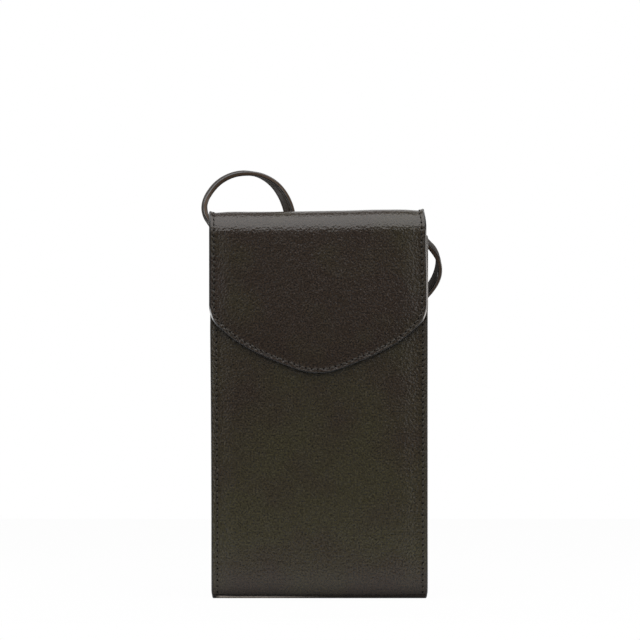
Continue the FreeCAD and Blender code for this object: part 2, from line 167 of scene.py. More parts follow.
def foot_painted_shade_and_highlight(tree, across, down):
    """Painted shade and a painted highlight at the fold at the foot of the front: the leather is painted darker
    towards the fold, and the fold's nose is painted pale at the left.

    Gives the share of colour and shine left after the painted shade and the share of painted highlight, by the place
    on the strip laid flat.
    """
    front_end, dark_from, dark_to = 200 * MM, 159 * MM, 167 * MM
    nose_from, nose_to = 167.25 * MM, 167.5 * MM
    pale_from, pale_to, edge_from, edge_to = -32 * MM, 8 * MM, -48.5 * MM, -46.5 * MM
    most_lost = 0.58
    front = add_node(tree, "Math", {"operation": "LESS_THAN"}, {1: front_end}, {0: down})
    near = add_node(tree, "MapRange", values={"From Min": dark_from, "From Max": dark_to}, links={"Value": down})
    dark = add_node(tree, "Math", {"operation": "POWER"}, {1: 2.0}, {0: near})
    loss = add_node(tree, "Math", {"operation": "MULTIPLY"}, links={0: dark, 1: front})
    kept = add_node(tree, "Math", {"operation": "MULTIPLY_ADD"}, {1: -most_lost, 2: 1.0}, {0: loss})
    left = add_node(tree, "MapRange", {"interpolation_type": "SMOOTHSTEP"},
                    {"From Min": pale_from, "From Max": pale_to, "To Min": 1.0, "To Max": 0.0}, {"Value": across})
    inside = add_node(tree, "MapRange", values={"From Min": edge_from, "From Max": edge_to}, links={"Value": across})
    painted_highlight = add_node(tree, "MapRange", values={"From Min": nose_from, "From Max": nose_to}, links={"Value": down})
    for share in (left, inside, front):
        painted_highlight = add_node(tree, "Math", {"operation": "MULTIPLY"}, links={0: painted_highlight, 1: share})
    return kept, painted_highlight


def calf_leather(name, colour, warm, grain_mm, relief_mm, gloss, shine, drift=0.0):
    """Drum-dyed calf leather, plated and waxed: a satin sheen broken by a fine pebble, with slow shifts in the dye.

    The drift is how far the dye shifts with the length along the strip laid flat; with a drift, the front's fold at
    the foot also gets painted shade and a painted highlight.
    """
    material, tree = new_material(name)
    if tree is None:
        return material
    place = add_node(tree, "TexCoord").outputs["UV"]
    parts = add_node(tree, "SeparateXYZ", links={"Vector": place})
    patches = add_node(tree, "TexNoise", values={"Scale": 1 / (30 * MM), "Detail": 2.0}, links={"Vector": place})
    upper = add_node(tree, "MapRange", links={"Value": parts.outputs["Y"]}, values={
        "From Min": 50 * MM, "From Max": 110 * MM, "To Min": 0.5 * drift, "To Max": -drift})
    lower = add_node(tree, "MapRange", links={"Value": parts.outputs["Y"]}, values={
        "From Min": 138 * MM, "From Max": 165 * MM, "To Min": 0.0, "To Max": 2 * drift})
    along = add_node(tree, "Math", {"operation": "ADD"}, links={0: upper, 1: lower})
    level = add_node(tree, "Math", {"operation": "ADD"}, links={0: patches, 1: along})
    dye = add_node(tree, "MapRange", values={"From Min": 0.32, "From Max": 0.68}, links={"Value": level})
    tint = add_node(tree, "Mix", {"data_type": "RGBA"}, {6: with_alpha(colour), 7: with_alpha(warm)}, {0: dye})
    pebble = add_node(tree, "TexVoronoi", {"feature": "SMOOTH_F1"}, links={"Vector": place}, values={
        "Scale": 1 / (grain_mm * MM), "Smoothness": 0.5, "Randomness": 1.0})
    pores = add_node(tree, "TexNoise", links={"Vector": place}, values={
        "Scale": 1 / (0.8 * grain_mm * MM), "Detail": 2.0, "Roughness": 0.6})
    creases = add_node(tree, "TexNoise", links={"Vector": place}, values={
        "Scale": 1 / (4.0 * MM), "Detail": 4.0, "Roughness": 0.55, "Distortion": 0.8})
    speckle = add_node(tree, "MapRange", links={"Value": pores}, values={
        "From Min": 0.3, "From Max": 0.7, "To Min": 0.2, "To Max": 1.8})
    shade = add_node(tree, "VectorMath", {"operation": "SCALE"}, links={0: tint.outputs[2], "Scale": speckle})
    sheen = add_node(tree, "MapRange", links={"Value": creases}, values={
        "From Min": 0.3, "From Max": 0.7, "To Min": gloss - 0.04, "To Max": gloss + 0.04})
    relief = {}
    for height, strength, depth in ((pebble, 1.0, 1.0), (pores, 1.0, 0.8), (creases, 0.4, 1.0)):
        bump = add_node(tree, "Bump", values={"Strength": strength, "Distance": depth * relief_mm * MM},
                        links={"Height": height, **relief})
        relief = {"Normal": bump}
    surface = add_node(tree, "BsdfPrincipled", values={"IOR": 1.5, "Specular IOR Level": shine},
                       links={"Base Color": shade, "Roughness": sheen, **relief})
    if drift:
        # Painted shade: colour and shine darken towards the fold at the front's foot; painted highlight: the fold's
        # nose turns pale at the left.
        kept, painted_highlight = foot_painted_shade_and_highlight(tree, parts.outputs["X"], parts.outputs["Y"])
        painted_shade_colour = add_node(tree, "VectorMath", {"operation": "SCALE"}, links={0: shade, "Scale": kept})
        painted_foot_colour = add_node(tree, "Mix", {"data_type": "RGBA"}, {7: with_alpha(colours().painted_highlight)}, {0: painted_highlight, 6: painted_shade_colour})
        lustre = add_node(tree, "Math", {"operation": "MULTIPLY"}, {1: shine}, {0: kept})
        tree.links.new(painted_foot_colour.outputs[2], surface.inputs["Base Color"])
        tree.links.new(lustre.outputs["Value"], surface.inputs["Specular IOR Level"])
    add_node(tree, "OutputMaterial", links={"Surface": surface})
    return material


def edge_paint(name="Acrylic_edge_paint", colour=None, gloss=0.18, shine=0.7):
    """Acrylic edge paint, rolled on in coats over sanded leather: dark, half glossy and slightly uneven."""
    material, tree = new_material(name)
    if tree is None:
        return material
    place = add_node(tree, "TexCoord").outputs["Object"]
    coats = add_node(tree, "TexNoise", values={"Scale": 1 / (1.5 * MM), "Detail": 2.0}, links={"Vector": place})
    sheen = add_node(tree, "MapRange", values={"To Min": gloss - 0.04, "To Max": gloss + 0.08}, links={"Value": coats})
    bump = add_node(tree, "Bump", values={"Strength": 0.3, "Distance": 0.05 * MM}, links={"Height": coats})
    surface = add_node(tree, "BsdfPrincipled", links={"Roughness": sheen, "Normal": bump}, values={
        "Base Color": with_alpha(colour or colours().edge_paint), "IOR": 1.5, "Specular IOR Level": shine})
    add_node(tree, "OutputMaterial", links={"Surface": surface})
    return material


def suede():
    """Split suede, brushed: a dull nap with lighter and darker strokes where the fibres lie over."""
    material, tree = new_material("Split_suede")
    if tree is None:
        return material
    place = add_node(tree, "TexCoord").outputs["UV"]
    strokes = add_node(tree, "TexNoise", links={"Vector": place}, values={
        "Scale": 1 / (9.0 * MM), "Detail": 3.0, "Distortion": 0.6})
    nap = add_node(tree, "TexNoise", links={"Vector": place}, values={
        "Scale": 1 / (0.5 * MM), "Detail": 4.0, "Roughness": 0.7})
    both = add_node(tree, "Math", {"operation": "ADD"}, links={0: strokes, 1: nap})
    lift = add_node(tree, "MapRange", links={"Value": both}, values={
        "From Min": 0.6, "From Max": 1.4, "To Min": 0.72, "To Max": 1.22})
    shade = add_node(tree, "VectorMath", {"operation": "SCALE"}, {0: colours().suede}, {"Scale": lift})
    bump = add_node(tree, "Bump", values={"Strength": 0.6, "Distance": 0.1 * MM}, links={"Height": nap})
    surface = add_node(tree, "BsdfPrincipled", links={"Base Color": shade, "Normal": bump}, values={
        "Roughness": 0.95, "IOR": 1.45, "Sheen Weight": 0.25, "Sheen Roughness": 0.5})
    add_node(tree, "OutputMaterial", links={"Surface": surface})
    return material


def polished_corner():
    """The strap's rolled corners: several thin coats of edge paint, ironed until they shine."""
    return edge_paint("Acrylic_edge_paint_polished", None, 0.14, 0.9)


def burnished_edge():
    """The strap's cut edge, slicked with gum and burnished: lighter than the paint on its corners and nearly dull."""
    return edge_paint("Burnished_leather_edge", colours().strap_edge, 0.5, 0.15)


def bonded_thread():
    """Bonded polyester thread, twisted: fine slanted ridges with a low waxy shine."""
    material, tree = new_material("Bonded_polyester_thread")
    if tree is None:
        return material
    place = add_node(tree, "TexCoord").outputs["UV"]
    twist = add_node(tree, "TexWave", {"bands_direction": "DIAGONAL"},
                     {"Scale": 1 / (1.6 * MM), "Distortion": 0.5}, {"Vector": place})
    bump = add_node(tree, "Bump", values={"Strength": 0.5, "Distance": 0.05 * MM},
                    links={"Height": twist.outputs["Fac"]})
    surface = add_node(tree, "BsdfPrincipled", links={"Normal": bump}, values={
        "Base Color": with_alpha(colours().thread), "Roughness": 0.5, "IOR": 1.5})
    add_node(tree, "OutputMaterial", links={"Surface": surface})
    return material


def needle_hole():
    """Painted shade for the punch holes: near black and dull, with no shine."""
    material, tree = new_material("Punched_hole_painted_shade")
    if tree is None:
        return material
    surface = add_node(tree, "BsdfPrincipled", values={
        "Base Color": with_alpha(colours().hole), "Roughness": 0.9, "Specular IOR Level": 0.1})
    add_node(tree, "OutputMaterial", links={"Surface": surface})
    return material


def plated_metal(name, colour, roughness, grit_mm):
    """Tumbled metal: a soft shine with fine random wear."""
    material, tree = new_material(name)
    if tree is None:
        return material
    place = add_node(tree, "TexCoord").outputs["Object"]
    wear = add_node(tree, "TexNoise", values={"Scale": 1 / (grit_mm * MM), "Detail": 4.0}, links={"Vector": place})
    dull = add_node(tree, "MapRange", links={"Value": wear}, values={
        "To Min": roughness - 0.08, "To Max": roughness + 0.12})
    surface = add_node(tree, "BsdfPrincipled", links={"Roughness": dull}, values={
        "Base Color": with_alpha(colour), "Metallic": 1.0})
    add_node(tree, "OutputMaterial", links={"Surface": surface})
    return material


def strip_leather():
    """The pouch's own leather: a fine pebble under a smooth wax, with painted shade and a painted highlight at the
    front's foot.
    """
    return calf_leather("Calf_leather_plated", colours().leather, colours().leather_warm, 1.0, 0.14, 0.215, 0.5, 0.14)


def strap_leather():
    """The strap's leather: flatter and duller than the pouch's."""
    return calf_leather("Calf_leather_strap", colours().strap, colours().leather_warm, 1.2, 0.06, 0.5, 0.12)


def gusset_leather():
    """The gussets' leather: skived thin, with a coarser pebble."""
    return calf_leather("Calf_leather_skived", colours().leather, colours().leather_warm, 1.4, 0.1, 0.35, 0.4)


class SideProfile:
    """A side view line of lines and arcs, walked from a start point and heading, by length."""

    def __init__(self, strip, start, heading, steps, start_mark):
        self.strip = strip
        self.runs = []
        self.length = 0.0
        self.start_mark = start_mark
        y, z = start
        angle = math.radians(heading)
        for size, turn in steps:
            length = size if turn == 0 else size * math.radians(abs(turn))
            bend = 0.0 if turn == 0 else math.copysign(1 / size, turn)
            self.runs.append((self.length, length, bend, y, z, angle))
            self.length += length
            y, z, angle = self.ahead(y, z, angle, bend, length)

    @staticmethod
    def ahead(y, z, angle, bend, length):
        if bend == 0.0:
            return y + length * math.cos(angle), z + length * math.sin(angle), angle
        turned = angle + bend * length
        return y + (math.sin(turned) - math.sin(angle)) / bend, z - (math.cos(turned) - math.cos(angle)) / bend, turned

    def at(self, s):
        """Point and heading at a length along the line."""
        for begin, _, bend, y, z, angle in reversed(self.runs):
            if s >= begin:
                break
        return self.ahead(y, z, angle, bend, s - begin)

    def length_to(self, height):
        """Length at which the line first comes to a height."""
        places = np.linspace(0.0, self.length, 4000)
        heights = np.array([self.at(s)[1] for s in places])
        side = np.sign(heights - height)
        return float(places[np.argmax(side != side[0])])

    def stations(self, step, arc_degrees=6.0):
        """Lengths to sample at: an even step on lines and finer ones on tight arcs."""
        found = [0.0]
        for begin, length, bend, _, _, _ in self.runs:
            fine = step if bend == 0.0 else min(step, math.radians(arc_degrees) / abs(bend))
            count = max(1, math.ceil(length / fine))
            found += [begin + length * (number + 1) / count for number in range(count)]
        return np.array(found)

    def place(self, s, x, depth):
        """The point at a length, a width and a depth under the outer face, with the inward direction."""
        y, z, angle = self.at(s)
        inward = np.array((0.0, -math.sin(angle), math.cos(angle)))
        return np.array((x, y, z)) + inward * depth, inward, np.array((0.0, math.cos(angle), math.sin(angle)))


HALF_WIDTH = BODY_HIGH[0]
TOP = CROWN_HIGH[2]
BACK = BODY_HIGH[1]
FRONT = BODY_LOW[1]
ARCH_RADIUS = 9.0 * MM
ARCH_Z = TOP - ARCH_RADIUS
MOUTH_Z = 168.0 * MM
TIP_Z = FLAP_LOW[2]
FOLD_RADIUS = 3.0 * MM
BELLY_RADIUS = 80.0 * MM
BELLY_ANGLE = 10.0
BASE_MIDDLE_Y = 1.9 * MM

# Steps of the meshes, fine for leather and coarse for the lining behind it.
FINE_STEP, COARSE_STEP = 0.68 * MM, 2.2 * MM
FINE_HEM_STEP, COARSE_HEM_STEP = 0.28 * MM, 1.5 * MM
FINE_COLUMNS, COARSE_COLUMNS = (0.26 * MM, 2.4 * MM), (1.2 * MM, 6.0 * MM)
OUTLINE_STEP = 0.55 * MM
PLAN_STEP = 0.1 * MM
SEAM_BAND = 4.2 * MM
SEAM_EASE = 4.0 * MM
HEM = 4.5 * MM


def front_profile():
    """From the mouth down the front, round the belly and the fold, to the middle of the base."""
    belly = math.radians(BELLY_ANGLE)
    fold_y = FRONT + BELLY_RADIUS * (1 - math.cos(belly)) + FOLD_RADIUS * math.cos(belly)
    drop = MOUTH_Z - BELLY_RADIUS * math.sin(belly) - FOLD_RADIUS * (1 - math.sin(belly))
    steps = [(drop, 0), (BELLY_RADIUS, BELLY_ANGLE), (FOLD_RADIUS, 90 - BELLY_ANGLE), (BASE_MIDDLE_Y - fold_y, 0)]
    return SideProfile("front", (FRONT, MOUTH_Z), 270, steps, 0.0)


def back_profile():
    """From the middle of the base round the rear fold, up the back and over to the top of the arch."""
    steps = [(BACK - FOLD_RADIUS - BASE_MIDDLE_Y, 0), (FOLD_RADIUS, 90), (ARCH_Z - FOLD_RADIUS, 0), (ARCH_RADIUS, 90)]
    return SideProfile("back", (BASE_MIDDLE_Y, 0.0), 0, steps, 0.3)


def flap_profile():
    """From the top of the arch over the front fold and straight down past the flap's tip."""
    crest_turn, shoulder_radius = 50.0, 11.8 * MM
    reach = math.sin(math.radians(crest_turn))
    crest_radius = (ARCH_RADIUS - shoulder_radius * (1 - reach)) / reach
    steps = [(crest_radius, crest_turn), (shoulder_radius, 90 - crest_turn), (ARCH_Z - TIP_Z + 5 * MM, 0)]
    return SideProfile("flap", (BACK - ARCH_RADIUS, TOP), 180, steps, 0.6)


def flap_edge():
    """Right half of the flap's lower edge, arcs from the tip out and up to the side, as points in X and Z."""
    slopes = np.radians((0.0, 20.0, 24.0, 33.0, 48.0, 90.0))
    reaches = np.array((0.0, 9.6, 25.0, 37.5, 46.5, 50.0)) / 50.0 * HALF_WIDTH
    points = []
    x, z, angle = 0.0, TIP_Z, 0.0
    for radius, turn in zip(np.diff(reaches) / np.diff(np.sin(slopes)), np.diff(slopes)):
        count = max(8, math.ceil(radius * turn / OUTLINE_STEP))
        for number in range(count):
            part = angle + turn * number / count
            points.append((x + radius * (math.sin(part) - math.sin(angle)),
                           z + radius * (math.cos(angle) - math.cos(part))))
        x += radius * (math.sin(angle + turn) - math.sin(angle))
        z += radius * (math.cos(angle) - math.cos(angle + turn))
        angle += turn
    points.append((x, z))
    return np.array(points)


def smooth(value):
    """Eases from 0 to 1."""
    value = np.clip(value, 0.0, 1.0)
    return value * value * (3 - 2 * value)


def soften(points, strip):
    """The slight life of a hand-made piece: a top line that rises to one side and panels that are not quite flat.

    The strip is front, back or flap. The body narrows a little to its foot at the left, and its right edge is
    wider, with the front's seam nearer to it. The front's mouth spreads a little at the right, and the flap is
    a touch wider than the body, hangs slightly to the left and leans on the front at its tip.
    """
    points = np.array(points)
    x, y, z = points[..., 0].copy(), points[..., 1].copy(), points[..., 2].copy()
    # The top line rises to the right and ripples.
    high = smooth((z - 150 * MM) / (28 * MM))
    ripple = np.sin(x / (11 * MM) + 0.6) * 0.09 + np.sin(x / (23 * MM) - 1.1) * 0.16
    points[..., 2] = z + high * (0.42 * x / HALF_WIDTH + 0.28 * smooth((x - 12 * MM) / (16 * MM)) + ripple) * MM
    # The upright panels are not quite flat.
    wave = np.sin(x / (17 * MM) + z / (31 * MM)) * 0.1 + np.sin(x / (29 * MM) - z / (13 * MM) + 2.0) * 0.06
    upright = smooth(z / (30 * MM)) * (1 - high)
    points[..., 1] = y + upright * wave * MM
    # The sides draw in at the top, at the foot and, on the left, along the body.
    share = x / HALF_WIDTH
    crest = smooth((z - 170 * MM) / (10 * MM)) ** 2
    toe = smooth((5 * MM - z) / (5 * MM)) ** 2
    narrowing = (0.32 - 0.5 * (z / (117 * MM)) ** 2) * (1 - smooth((z - 122 * MM) / (20 * MM)))
    waist = np.where(x < 0, narrowing, 0.0) * (strip != "flap")
    points[..., 0] = x - (np.where(x > 0, 1.0, -0.9) * crest + 0.5 * toe + waist) * share * MM
    if strip != "flap":
        points[..., 0] += 0.5 * MM * smooth((x - 46.5 * MM) / (3 * MM)) * (1 - crest)
    points[..., 2] += 0.35 * MM * crest * smooth((np.abs(x) - 47.6 * MM) / (1.2 * MM))
    if strip == "front":
        # The mouth spreads at the right, and the right seam lies further out.
        mouth = smooth((z - 130 * MM) / (10 * MM)) * (1 - smooth((z - 164 * MM) / (5 * MM)))
        depth = np.clip((y - FRONT) / (2.33 * MM), -0.3, 1.0)
        points[..., 0] += (0.6 * depth - 0.2) * MM * mouth * smooth((share - 0.8) / 0.2)
        belly = np.maximum(14 * MM - z, 0.0) ** 2 / (160 * MM)
        skin = 1 - smooth((y - FRONT - belly - 2.4 * MM) / (1 * MM))
        points[..., 0] += 1.15 * MM * np.exp(-((x - 47.2 * MM) / (1.6 * MM)) ** 2) * skin
    if strip == "flap":
        free = 1 - crest
        points[..., 0] += free * (0.3 * share - 0.35) * MM
        points[..., 0] += 0.42 * MM * smooth((165 * MM - z) / (20 * MM)) * np.maximum(share, 0.0) ** 4
        points[..., 1] += 0.25 * MM * smooth((140 * MM - z) / (30 * MM))
    return points


def seam_relief(from_edge, inset, stitch):
    """How far the leather is pulled in beside a seam: soft on the inner side, an even slope out to the edge.

    The stitch number along the seam tells the holes, where the pull is strongest, from the stitches' middles.
    """
    inner = np.exp(-(np.maximum(from_edge - inset, 0.0) / (5.0 * MM)) ** 2)
    outer = np.clip(from_edge / inset, 0.0, 1.0)
    pull = np.where(from_edge > inset, inner, outer)
    slack = 0.15 * (1 - np.cos(2 * math.pi * stitch)) * np.exp(-((from_edge - inset) / (0.7 * MM)) ** 2)
    return sizes().seam_depth * (pull - slack)


def base_crease(profile, lengths, widths):
    """The crease pressed into the front just above the table, where the leather folds under; deeper at the left."""
    depth = (0.6 + 0.5 * smooth((10 * MM - widths) / (40 * MM))) * MM
    return depth * np.exp(-((lengths - profile.length_to(1.4 * MM)) / (0.38 * MM)) ** 2)


def edge_crease(from_edge):
    """The decorative line pressed in beside the flap's edge with a hot creasing iron."""
    return 0.04 * MM * np.exp(-((from_edge - 0.95 * MM) / (0.3 * MM)) ** 2)


def side_columns(fine, coarse):
    """Widths to sample a strip at: close together over the seams and wide apart between them."""
    outer = HALF_WIDTH - sizes().edge_round
    inner = HALF_WIDTH - SEAM_BAND
    edge = np.linspace(outer, inner, max(2, round((outer - inner) / fine)), endpoint=False)
    middle = np.linspace(inner, -inner, max(2, round(2 * inner / coarse)) + 1)
    return np.concatenate((-edge, -middle, edge[::-1]))


def make_object(name, vertices, faces, materials, slots=None, uvs=None):
    """A smooth-shaded mesh object with its materials and a UV map in metres."""
    mesh = bpy.data.meshes.new(name)
    mesh.from_pydata([tuple(vertex) for vertex in vertices], [], [tuple(face) for face in faces])
    for material in materials:
        mesh.materials.append(material)
    if slots is not None:
        mesh.polygons.foreach_set("material_index", np.array(slots, dtype=np.int32))
    mesh.polygons.foreach_set("use_smooth", np.ones(len(mesh.polygons), dtype=bool))
    if uvs is not None:
        layer = mesh.uv_layers.new(name="UVMap")
        corners = np.zeros(len(mesh.loops), dtype=np.int32)
        mesh.loops.foreach_get("vertex_index", corners)
        layer.data.foreach_set("uv", np.asarray(uvs, dtype=np.float32)[corners].ravel())
    mesh.update()
    made = bpy.data.objects.new(name, mesh)
    bpy.context.scene.collection.objects.link(made)
    return made


def unit(vectors):
    return vectors / np.maximum(np.linalg.norm(vectors, axis=-1, keepdims=True), 1e-12)


def run_lengths(line):
    """The length so far at each point of a line."""
    return np.concatenate(((0.0,), np.cumsum(np.linalg.norm(np.diff(line, axis=0), axis=1))))


def evenly(line, count):
    """A plan line as a number of even steps."""
    lengths = run_lengths(line)
    places = np.linspace(0.0, lengths[-1], count + 1)
    return np.stack([np.interp(places, lengths, line[:, axis]) for axis in (0, 1)], axis=1)


def strip_faces(first, second):
    """Faces between two open chains of points, given by their numbers."""
    return [(first[one], first[one + 1], second[one + 1], second[one]) for one in range(len(first) - 1)]


def ring_faces(rings, around):
    """Faces between neighbouring closed rings of points."""
    faces = []
    for first in range(0, (rings - 1) * around, around):
        for turn in range(around):
            a, b = first + turn, first + (turn + 1) % around
            faces.append((a, b, b + around, a + around))
    return faces


# Side view of a dressed edge from the outer face on, for a rounding of 1: how far out and how far down.
ROUND_EDGE = [(math.sin(turn), 1 - math.cos(turn)) for turn in np.radians((22.5, 45.0, 67.5, 90.0))]
BEVELLED_EDGE = [(0.1, 0.03), (0.22, 0.1), (0.3, 0.2), (0.92, 1.0), (1.0, 1.2), (1.0, 1.5)]


def sheet_shell(name, outer, inner, uvs, chains, rounds, materials, edge_line=ROUND_EDGE):
    """A closed sheet between two grids of points, with a dressed edge along chains of their border points.

    The materials are the outer face's, the inner face's and the edge's.
    """
    rows, columns = outer.shape[:2]
    total = rows * columns
    outer_flat, inner_flat = outer.reshape(-1, 3), inner.reshape(-1, 3)
    vertices = [outer_flat, inner_flat]
    marks = [uvs.reshape(-1, 2), uvs.reshape(-1, 2)]
    faces = []
    slots = []
    for row in range(rows - 1):
        for column in range(columns - 1):
            a = row * columns + column
            b = a + columns
            faces.append((a, b, b + 1, a + 1))
            faces.append((total + a, total + a + 1, total + b + 1, total + b))
            slots += [0, 1]
    count = 2 * total
    rings = [(rounds[0] * out, rounds[0] * sunk, 0.0) for out, sunk in edge_line]
    rings += [(rounds[0] - rounds[1] * (1 - out), -rounds[1] * sunk, 1.0) for out, sunk in ROUND_EDGE[::-1]]
    for chain_points in chains:
        chain = np.array([row * columns + column for row, column in chain_points])
        within = np.array([min(max(row, 1), rows - 2) * columns + min(max(column, 1), columns - 2)
                           for row, column in chain_points])
        near, far = outer_flat[chain], inner_flat[chain]
        down = unit(far - near)
        away = unit(np.cross(unit(np.gradient(near, axis=0)), down))
        away *= np.sign(np.sum(away * (near - outer_flat[within]), axis=1, keepdims=True))
        last = chain
        for out, along_depth, share in rings:
            vertices.append(near + (far - near) * share + down * along_depth + away * out)
            marks.append(marks[0][chain] + np.array((out, along_depth)))
            ring = count + np.arange(len(chain))
            faces += strip_faces(last, ring)
            last = ring
            count += len(chain)
        faces += strip_faces(last, total + chain)
    slots += [2] * (len(faces) - len(slots))
    made = make_object(name, np.concatenate(vertices), faces, materials, slots, np.concatenate(marks))
    close_and_orient(made)
    return made


def close_and_orient(made):
    """Fills what is open where a sheet ends in a hidden join, and makes all faces look outwards."""
    shape = bmesh.new()
    shape.from_mesh(made.data)
    border = [edge for edge in shape.edges if edge.is_boundary]
    if border:
        bmesh.ops.holes_fill(shape, edges=border, sides=0)
    bmesh.ops.recalc_face_normals(shape, faces=shape.faces)
    shape.to_mesh(made.data)
    shape.free()


def sheet_grids(profile, lengths, widths, near, far, relief):
    """Outer and inner grids of a sheet on a side profile, with their UVs in metres."""
    outer = np.zeros(lengths.shape + (3,))
    inner = np.zeros_like(outer)
    for row in range(lengths.shape[0]):
        for column in range(lengths.shape[1]):
            point, inward, _ = profile.place(lengths[row, column], widths[row, column], 0.0)
            outer[row, column] = point + inward * (near + relief[row, column])
            inner[row, column] = point + inward * far
    uvs = np.stack((widths, lengths + profile.start_mark), axis=-1)
    return soften(outer, profile.strip), soften(inner, profile.strip), uvs


def layer_depths(kind, edge_round):
    """Near and far depth of a layer under the leather's outer face, its edge rounding and its materials."""
    size = sizes()
    if kind == "leather":
        return 0.0, size.leather, (edge_round, 0.12 * MM), [strip_leather(), suede(), edge_paint()]
    near = size.leather + size.glue
    return near, near + size.lining, (0.12 * MM, 0.3 * MM), [suede(), suede(), edge_paint()]


def body_sheet(name, kind, profile, cut_end):
    """A front or back sheet of the body in leather or lining, dressed at its sides and at its mouth."""
    near, far, rounds, materials = layer_depths(kind, sizes().edge_round)
    fine = kind == "leather"
    stations = profile.stations(FINE_STEP if fine else COARSE_STEP)
    columns = side_columns(*(FINE_COLUMNS if fine else COARSE_COLUMNS))
    lengths, widths = np.meshgrid(stations, columns, indexing="ij")
    if cut_end:
        lengths = lengths + sizes().edge_round * (1 - lengths / profile.length)
    relief = np.zeros_like(lengths)
    if fine:
        begin, end, inset = seam_reach(profile)
        stitch = (lengths - begin) / even_pitch(end - begin)
        ends = smooth((lengths - begin + SEAM_EASE) / SEAM_EASE) * smooth((end + SEAM_EASE - lengths) / SEAM_EASE)
        relief = seam_relief(HALF_WIDTH - np.abs(widths), inset, stitch) * ends
        if profile.strip == "front":
            relief = relief + base_crease(profile, lengths, widths)
    outer, inner, uvs = sheet_grids(profile, lengths, widths, near, far, relief)
    rows, count = lengths.shape
    left = [(row, 0) for row in range(rows)]
    right = [(row, count - 1) for row in range(rows)]
    chains = [left, right]
    if cut_end:
        chains = [left[::-1] + [(0, column) for column in range(1, count - 1)] + right]
    return sheet_shell(name, outer, inner, uvs, chains, rounds, materials)


def flap_plan():
    """The flap laid flat: its outline from the top left round the tip to the top right, in width and length."""
    half = flap_edge()
    lower = np.concatenate((half[::-1] * (-1, 1), half[1:]))
    bend, _, _, _, straight_z, _ = FLAP.runs[-1]
    lower[:, 1] = bend + straight_z - lower[:, 1]
    side = np.arange(0.0, lower[0, 1], OUTLINE_STEP)
    left = np.stack((np.full(len(side), -HALF_WIDTH), side), axis=1)
    right = np.stack((np.full(len(side), HALF_WIDTH), side[::-1]), axis=1)
    outline = np.concatenate((left, lower, right))
    return evenly(outline, math.ceil(run_lengths(outline)[-1] / PLAN_STEP))


def inset_line(line, inset):
    """A plan line moved inwards, to its left as it is walked, with its length so far at each point."""
    tangent = unit(np.gradient(line, axis=0))
    moved = line + np.stack((tangent[:, 1], -tangent[:, 0]), axis=1) * inset
    return moved, run_lengths(moved)


def nearest(line, points):
    """Distance from each plan point to the nearest point of a line, and that point's number."""
    tree = kdtree.KDTree(len(line))
    for number, point in enumerate(line):
        tree.insert((point[0], point[1], 0.0), number)
    tree.balance()
    found = [tree.find((point[0], point[1], 0.0)) for point in points]
    return np.array([one[2] for one in found]), np.array([one[1] for one in found])


def flap_sheet(name, kind):
    """The flap from the top of the arch to its pointed lower edge, in leather or lining."""
    edge_round = sizes().flap_round
    near, far, rounds, materials = layer_depths(kind, edge_round)
    fine = kind == "leather"
    half = flap_edge()
    tangent = unit(np.gradient(half, axis=0))
    half = half + np.stack((-tangent[:, 1], tangent[:, 0]), axis=1) * edge_round
    half[0, 0] = 0.0
    half[-1, 0] = HALF_WIDTH - edge_round
    kept = [0]
    least = 0.13 * MM if fine else 0.8 * MM
    for number in range(1, len(half) - 1):
        if half[number, 0] - half[kept[-1], 0] > least and half[-1, 0] - half[number, 0] > least:
            kept.append(number)
    half = half[kept + [len(half) - 1]]
    edge = np.concatenate((half[::-1] * (-1, 1), half[1:]))
    bend, _, _, _, straight_z, _ = FLAP.runs[-1]
    step = FINE_STEP if fine else COARSE_STEP
    over = np.linspace(0.0, bend, math.ceil(bend / step) + 1)
    drop = straight_z - edge[:, 1]
    shares = np.linspace(0.0, 1.0, math.ceil((straight_z - TIP_Z - HEM) / step) + 1)[1:]
    rises = np.linspace(HEM, 0.0, math.ceil(HEM / (FINE_HEM_STEP if fine else COARSE_HEM_STEP)) + 1)[1:]
    lengths = np.concatenate((np.repeat(over[:, None], len(edge), axis=1),
                              bend + shares[:, None] * (drop - HEM)[None, :],
                              bend + drop[None, :] - rises[:, None]))
    widths = np.repeat(edge[:, 0][None, :], len(lengths), axis=0)
    relief = np.zeros_like(lengths)
    if fine:
        points = np.stack((widths, lengths), axis=-1).reshape(-1, 2)
        outline = flap_plan()
        seam, along = inset_line(outline, sizes().seam_inset)
        from_edge, _ = nearest(outline, points)
        _, number = nearest(seam, points)
        stitch = along[number] / even_pitch(along[-1])
        relief = (seam_relief(from_edge, sizes().seam_inset, stitch) + edge_crease(from_edge)).reshape(lengths.shape)
    outer, inner, uvs = sheet_grids(FLAP, lengths, widths, near, far, relief)
    rows, count = lengths.shape
    chain = [(row, 0) for row in range(rows)] + [(rows - 1, column) for column in range(1, count - 1)]
    chain += [(row, count - 1) for row in range(rows - 1, -1, -1)]
    return sheet_shell(name, outer, inner, uvs, [chain], rounds, materials, BEVELLED_EDGE if fine else ROUND_EDGE)


def even_pitch(length):
    """The stitch length nearest to the set one that divides a seam evenly."""
    return length / max(1, round(length / sizes().pitch))


def seam_holes(line):
    """Places of the needle holes along a plan line, an even pitch apart."""
    return evenly(line, max(1, round(run_lengths(line)[-1] / sizes().pitch)))


def sewn_seam(name, profile, lines, depth, lift):
    """Thread and needle holes along plan lines on a side profile.

    The depth is the face's under the leather's outer one, and lift is 1 on an outer face and -1 on an inner one.
    """
    size = sizes()
    pulled = size.seam_depth if lift > 0 else 0.0
    beads, holes = MeshParts(profile.strip), MeshParts(profile.strip)
    for line in lines:
        places = seam_holes(line)
        for begin, end in zip(places[:-1], places[1:]):
            thread_bead(beads, profile, begin, end, depth, pulled, lift)
        for number, place in enumerate(places):
            ahead = places[min(number + 1, len(places) - 1)] - places[max(number - 1, 0)]
            punched_hole(holes, profile, place, ahead / np.linalg.norm(ahead), depth + lift * pulled, lift)
    return [beads.joined(name + "_thread", bonded_thread()), holes.joined(name + "_holes", needle_hole())]


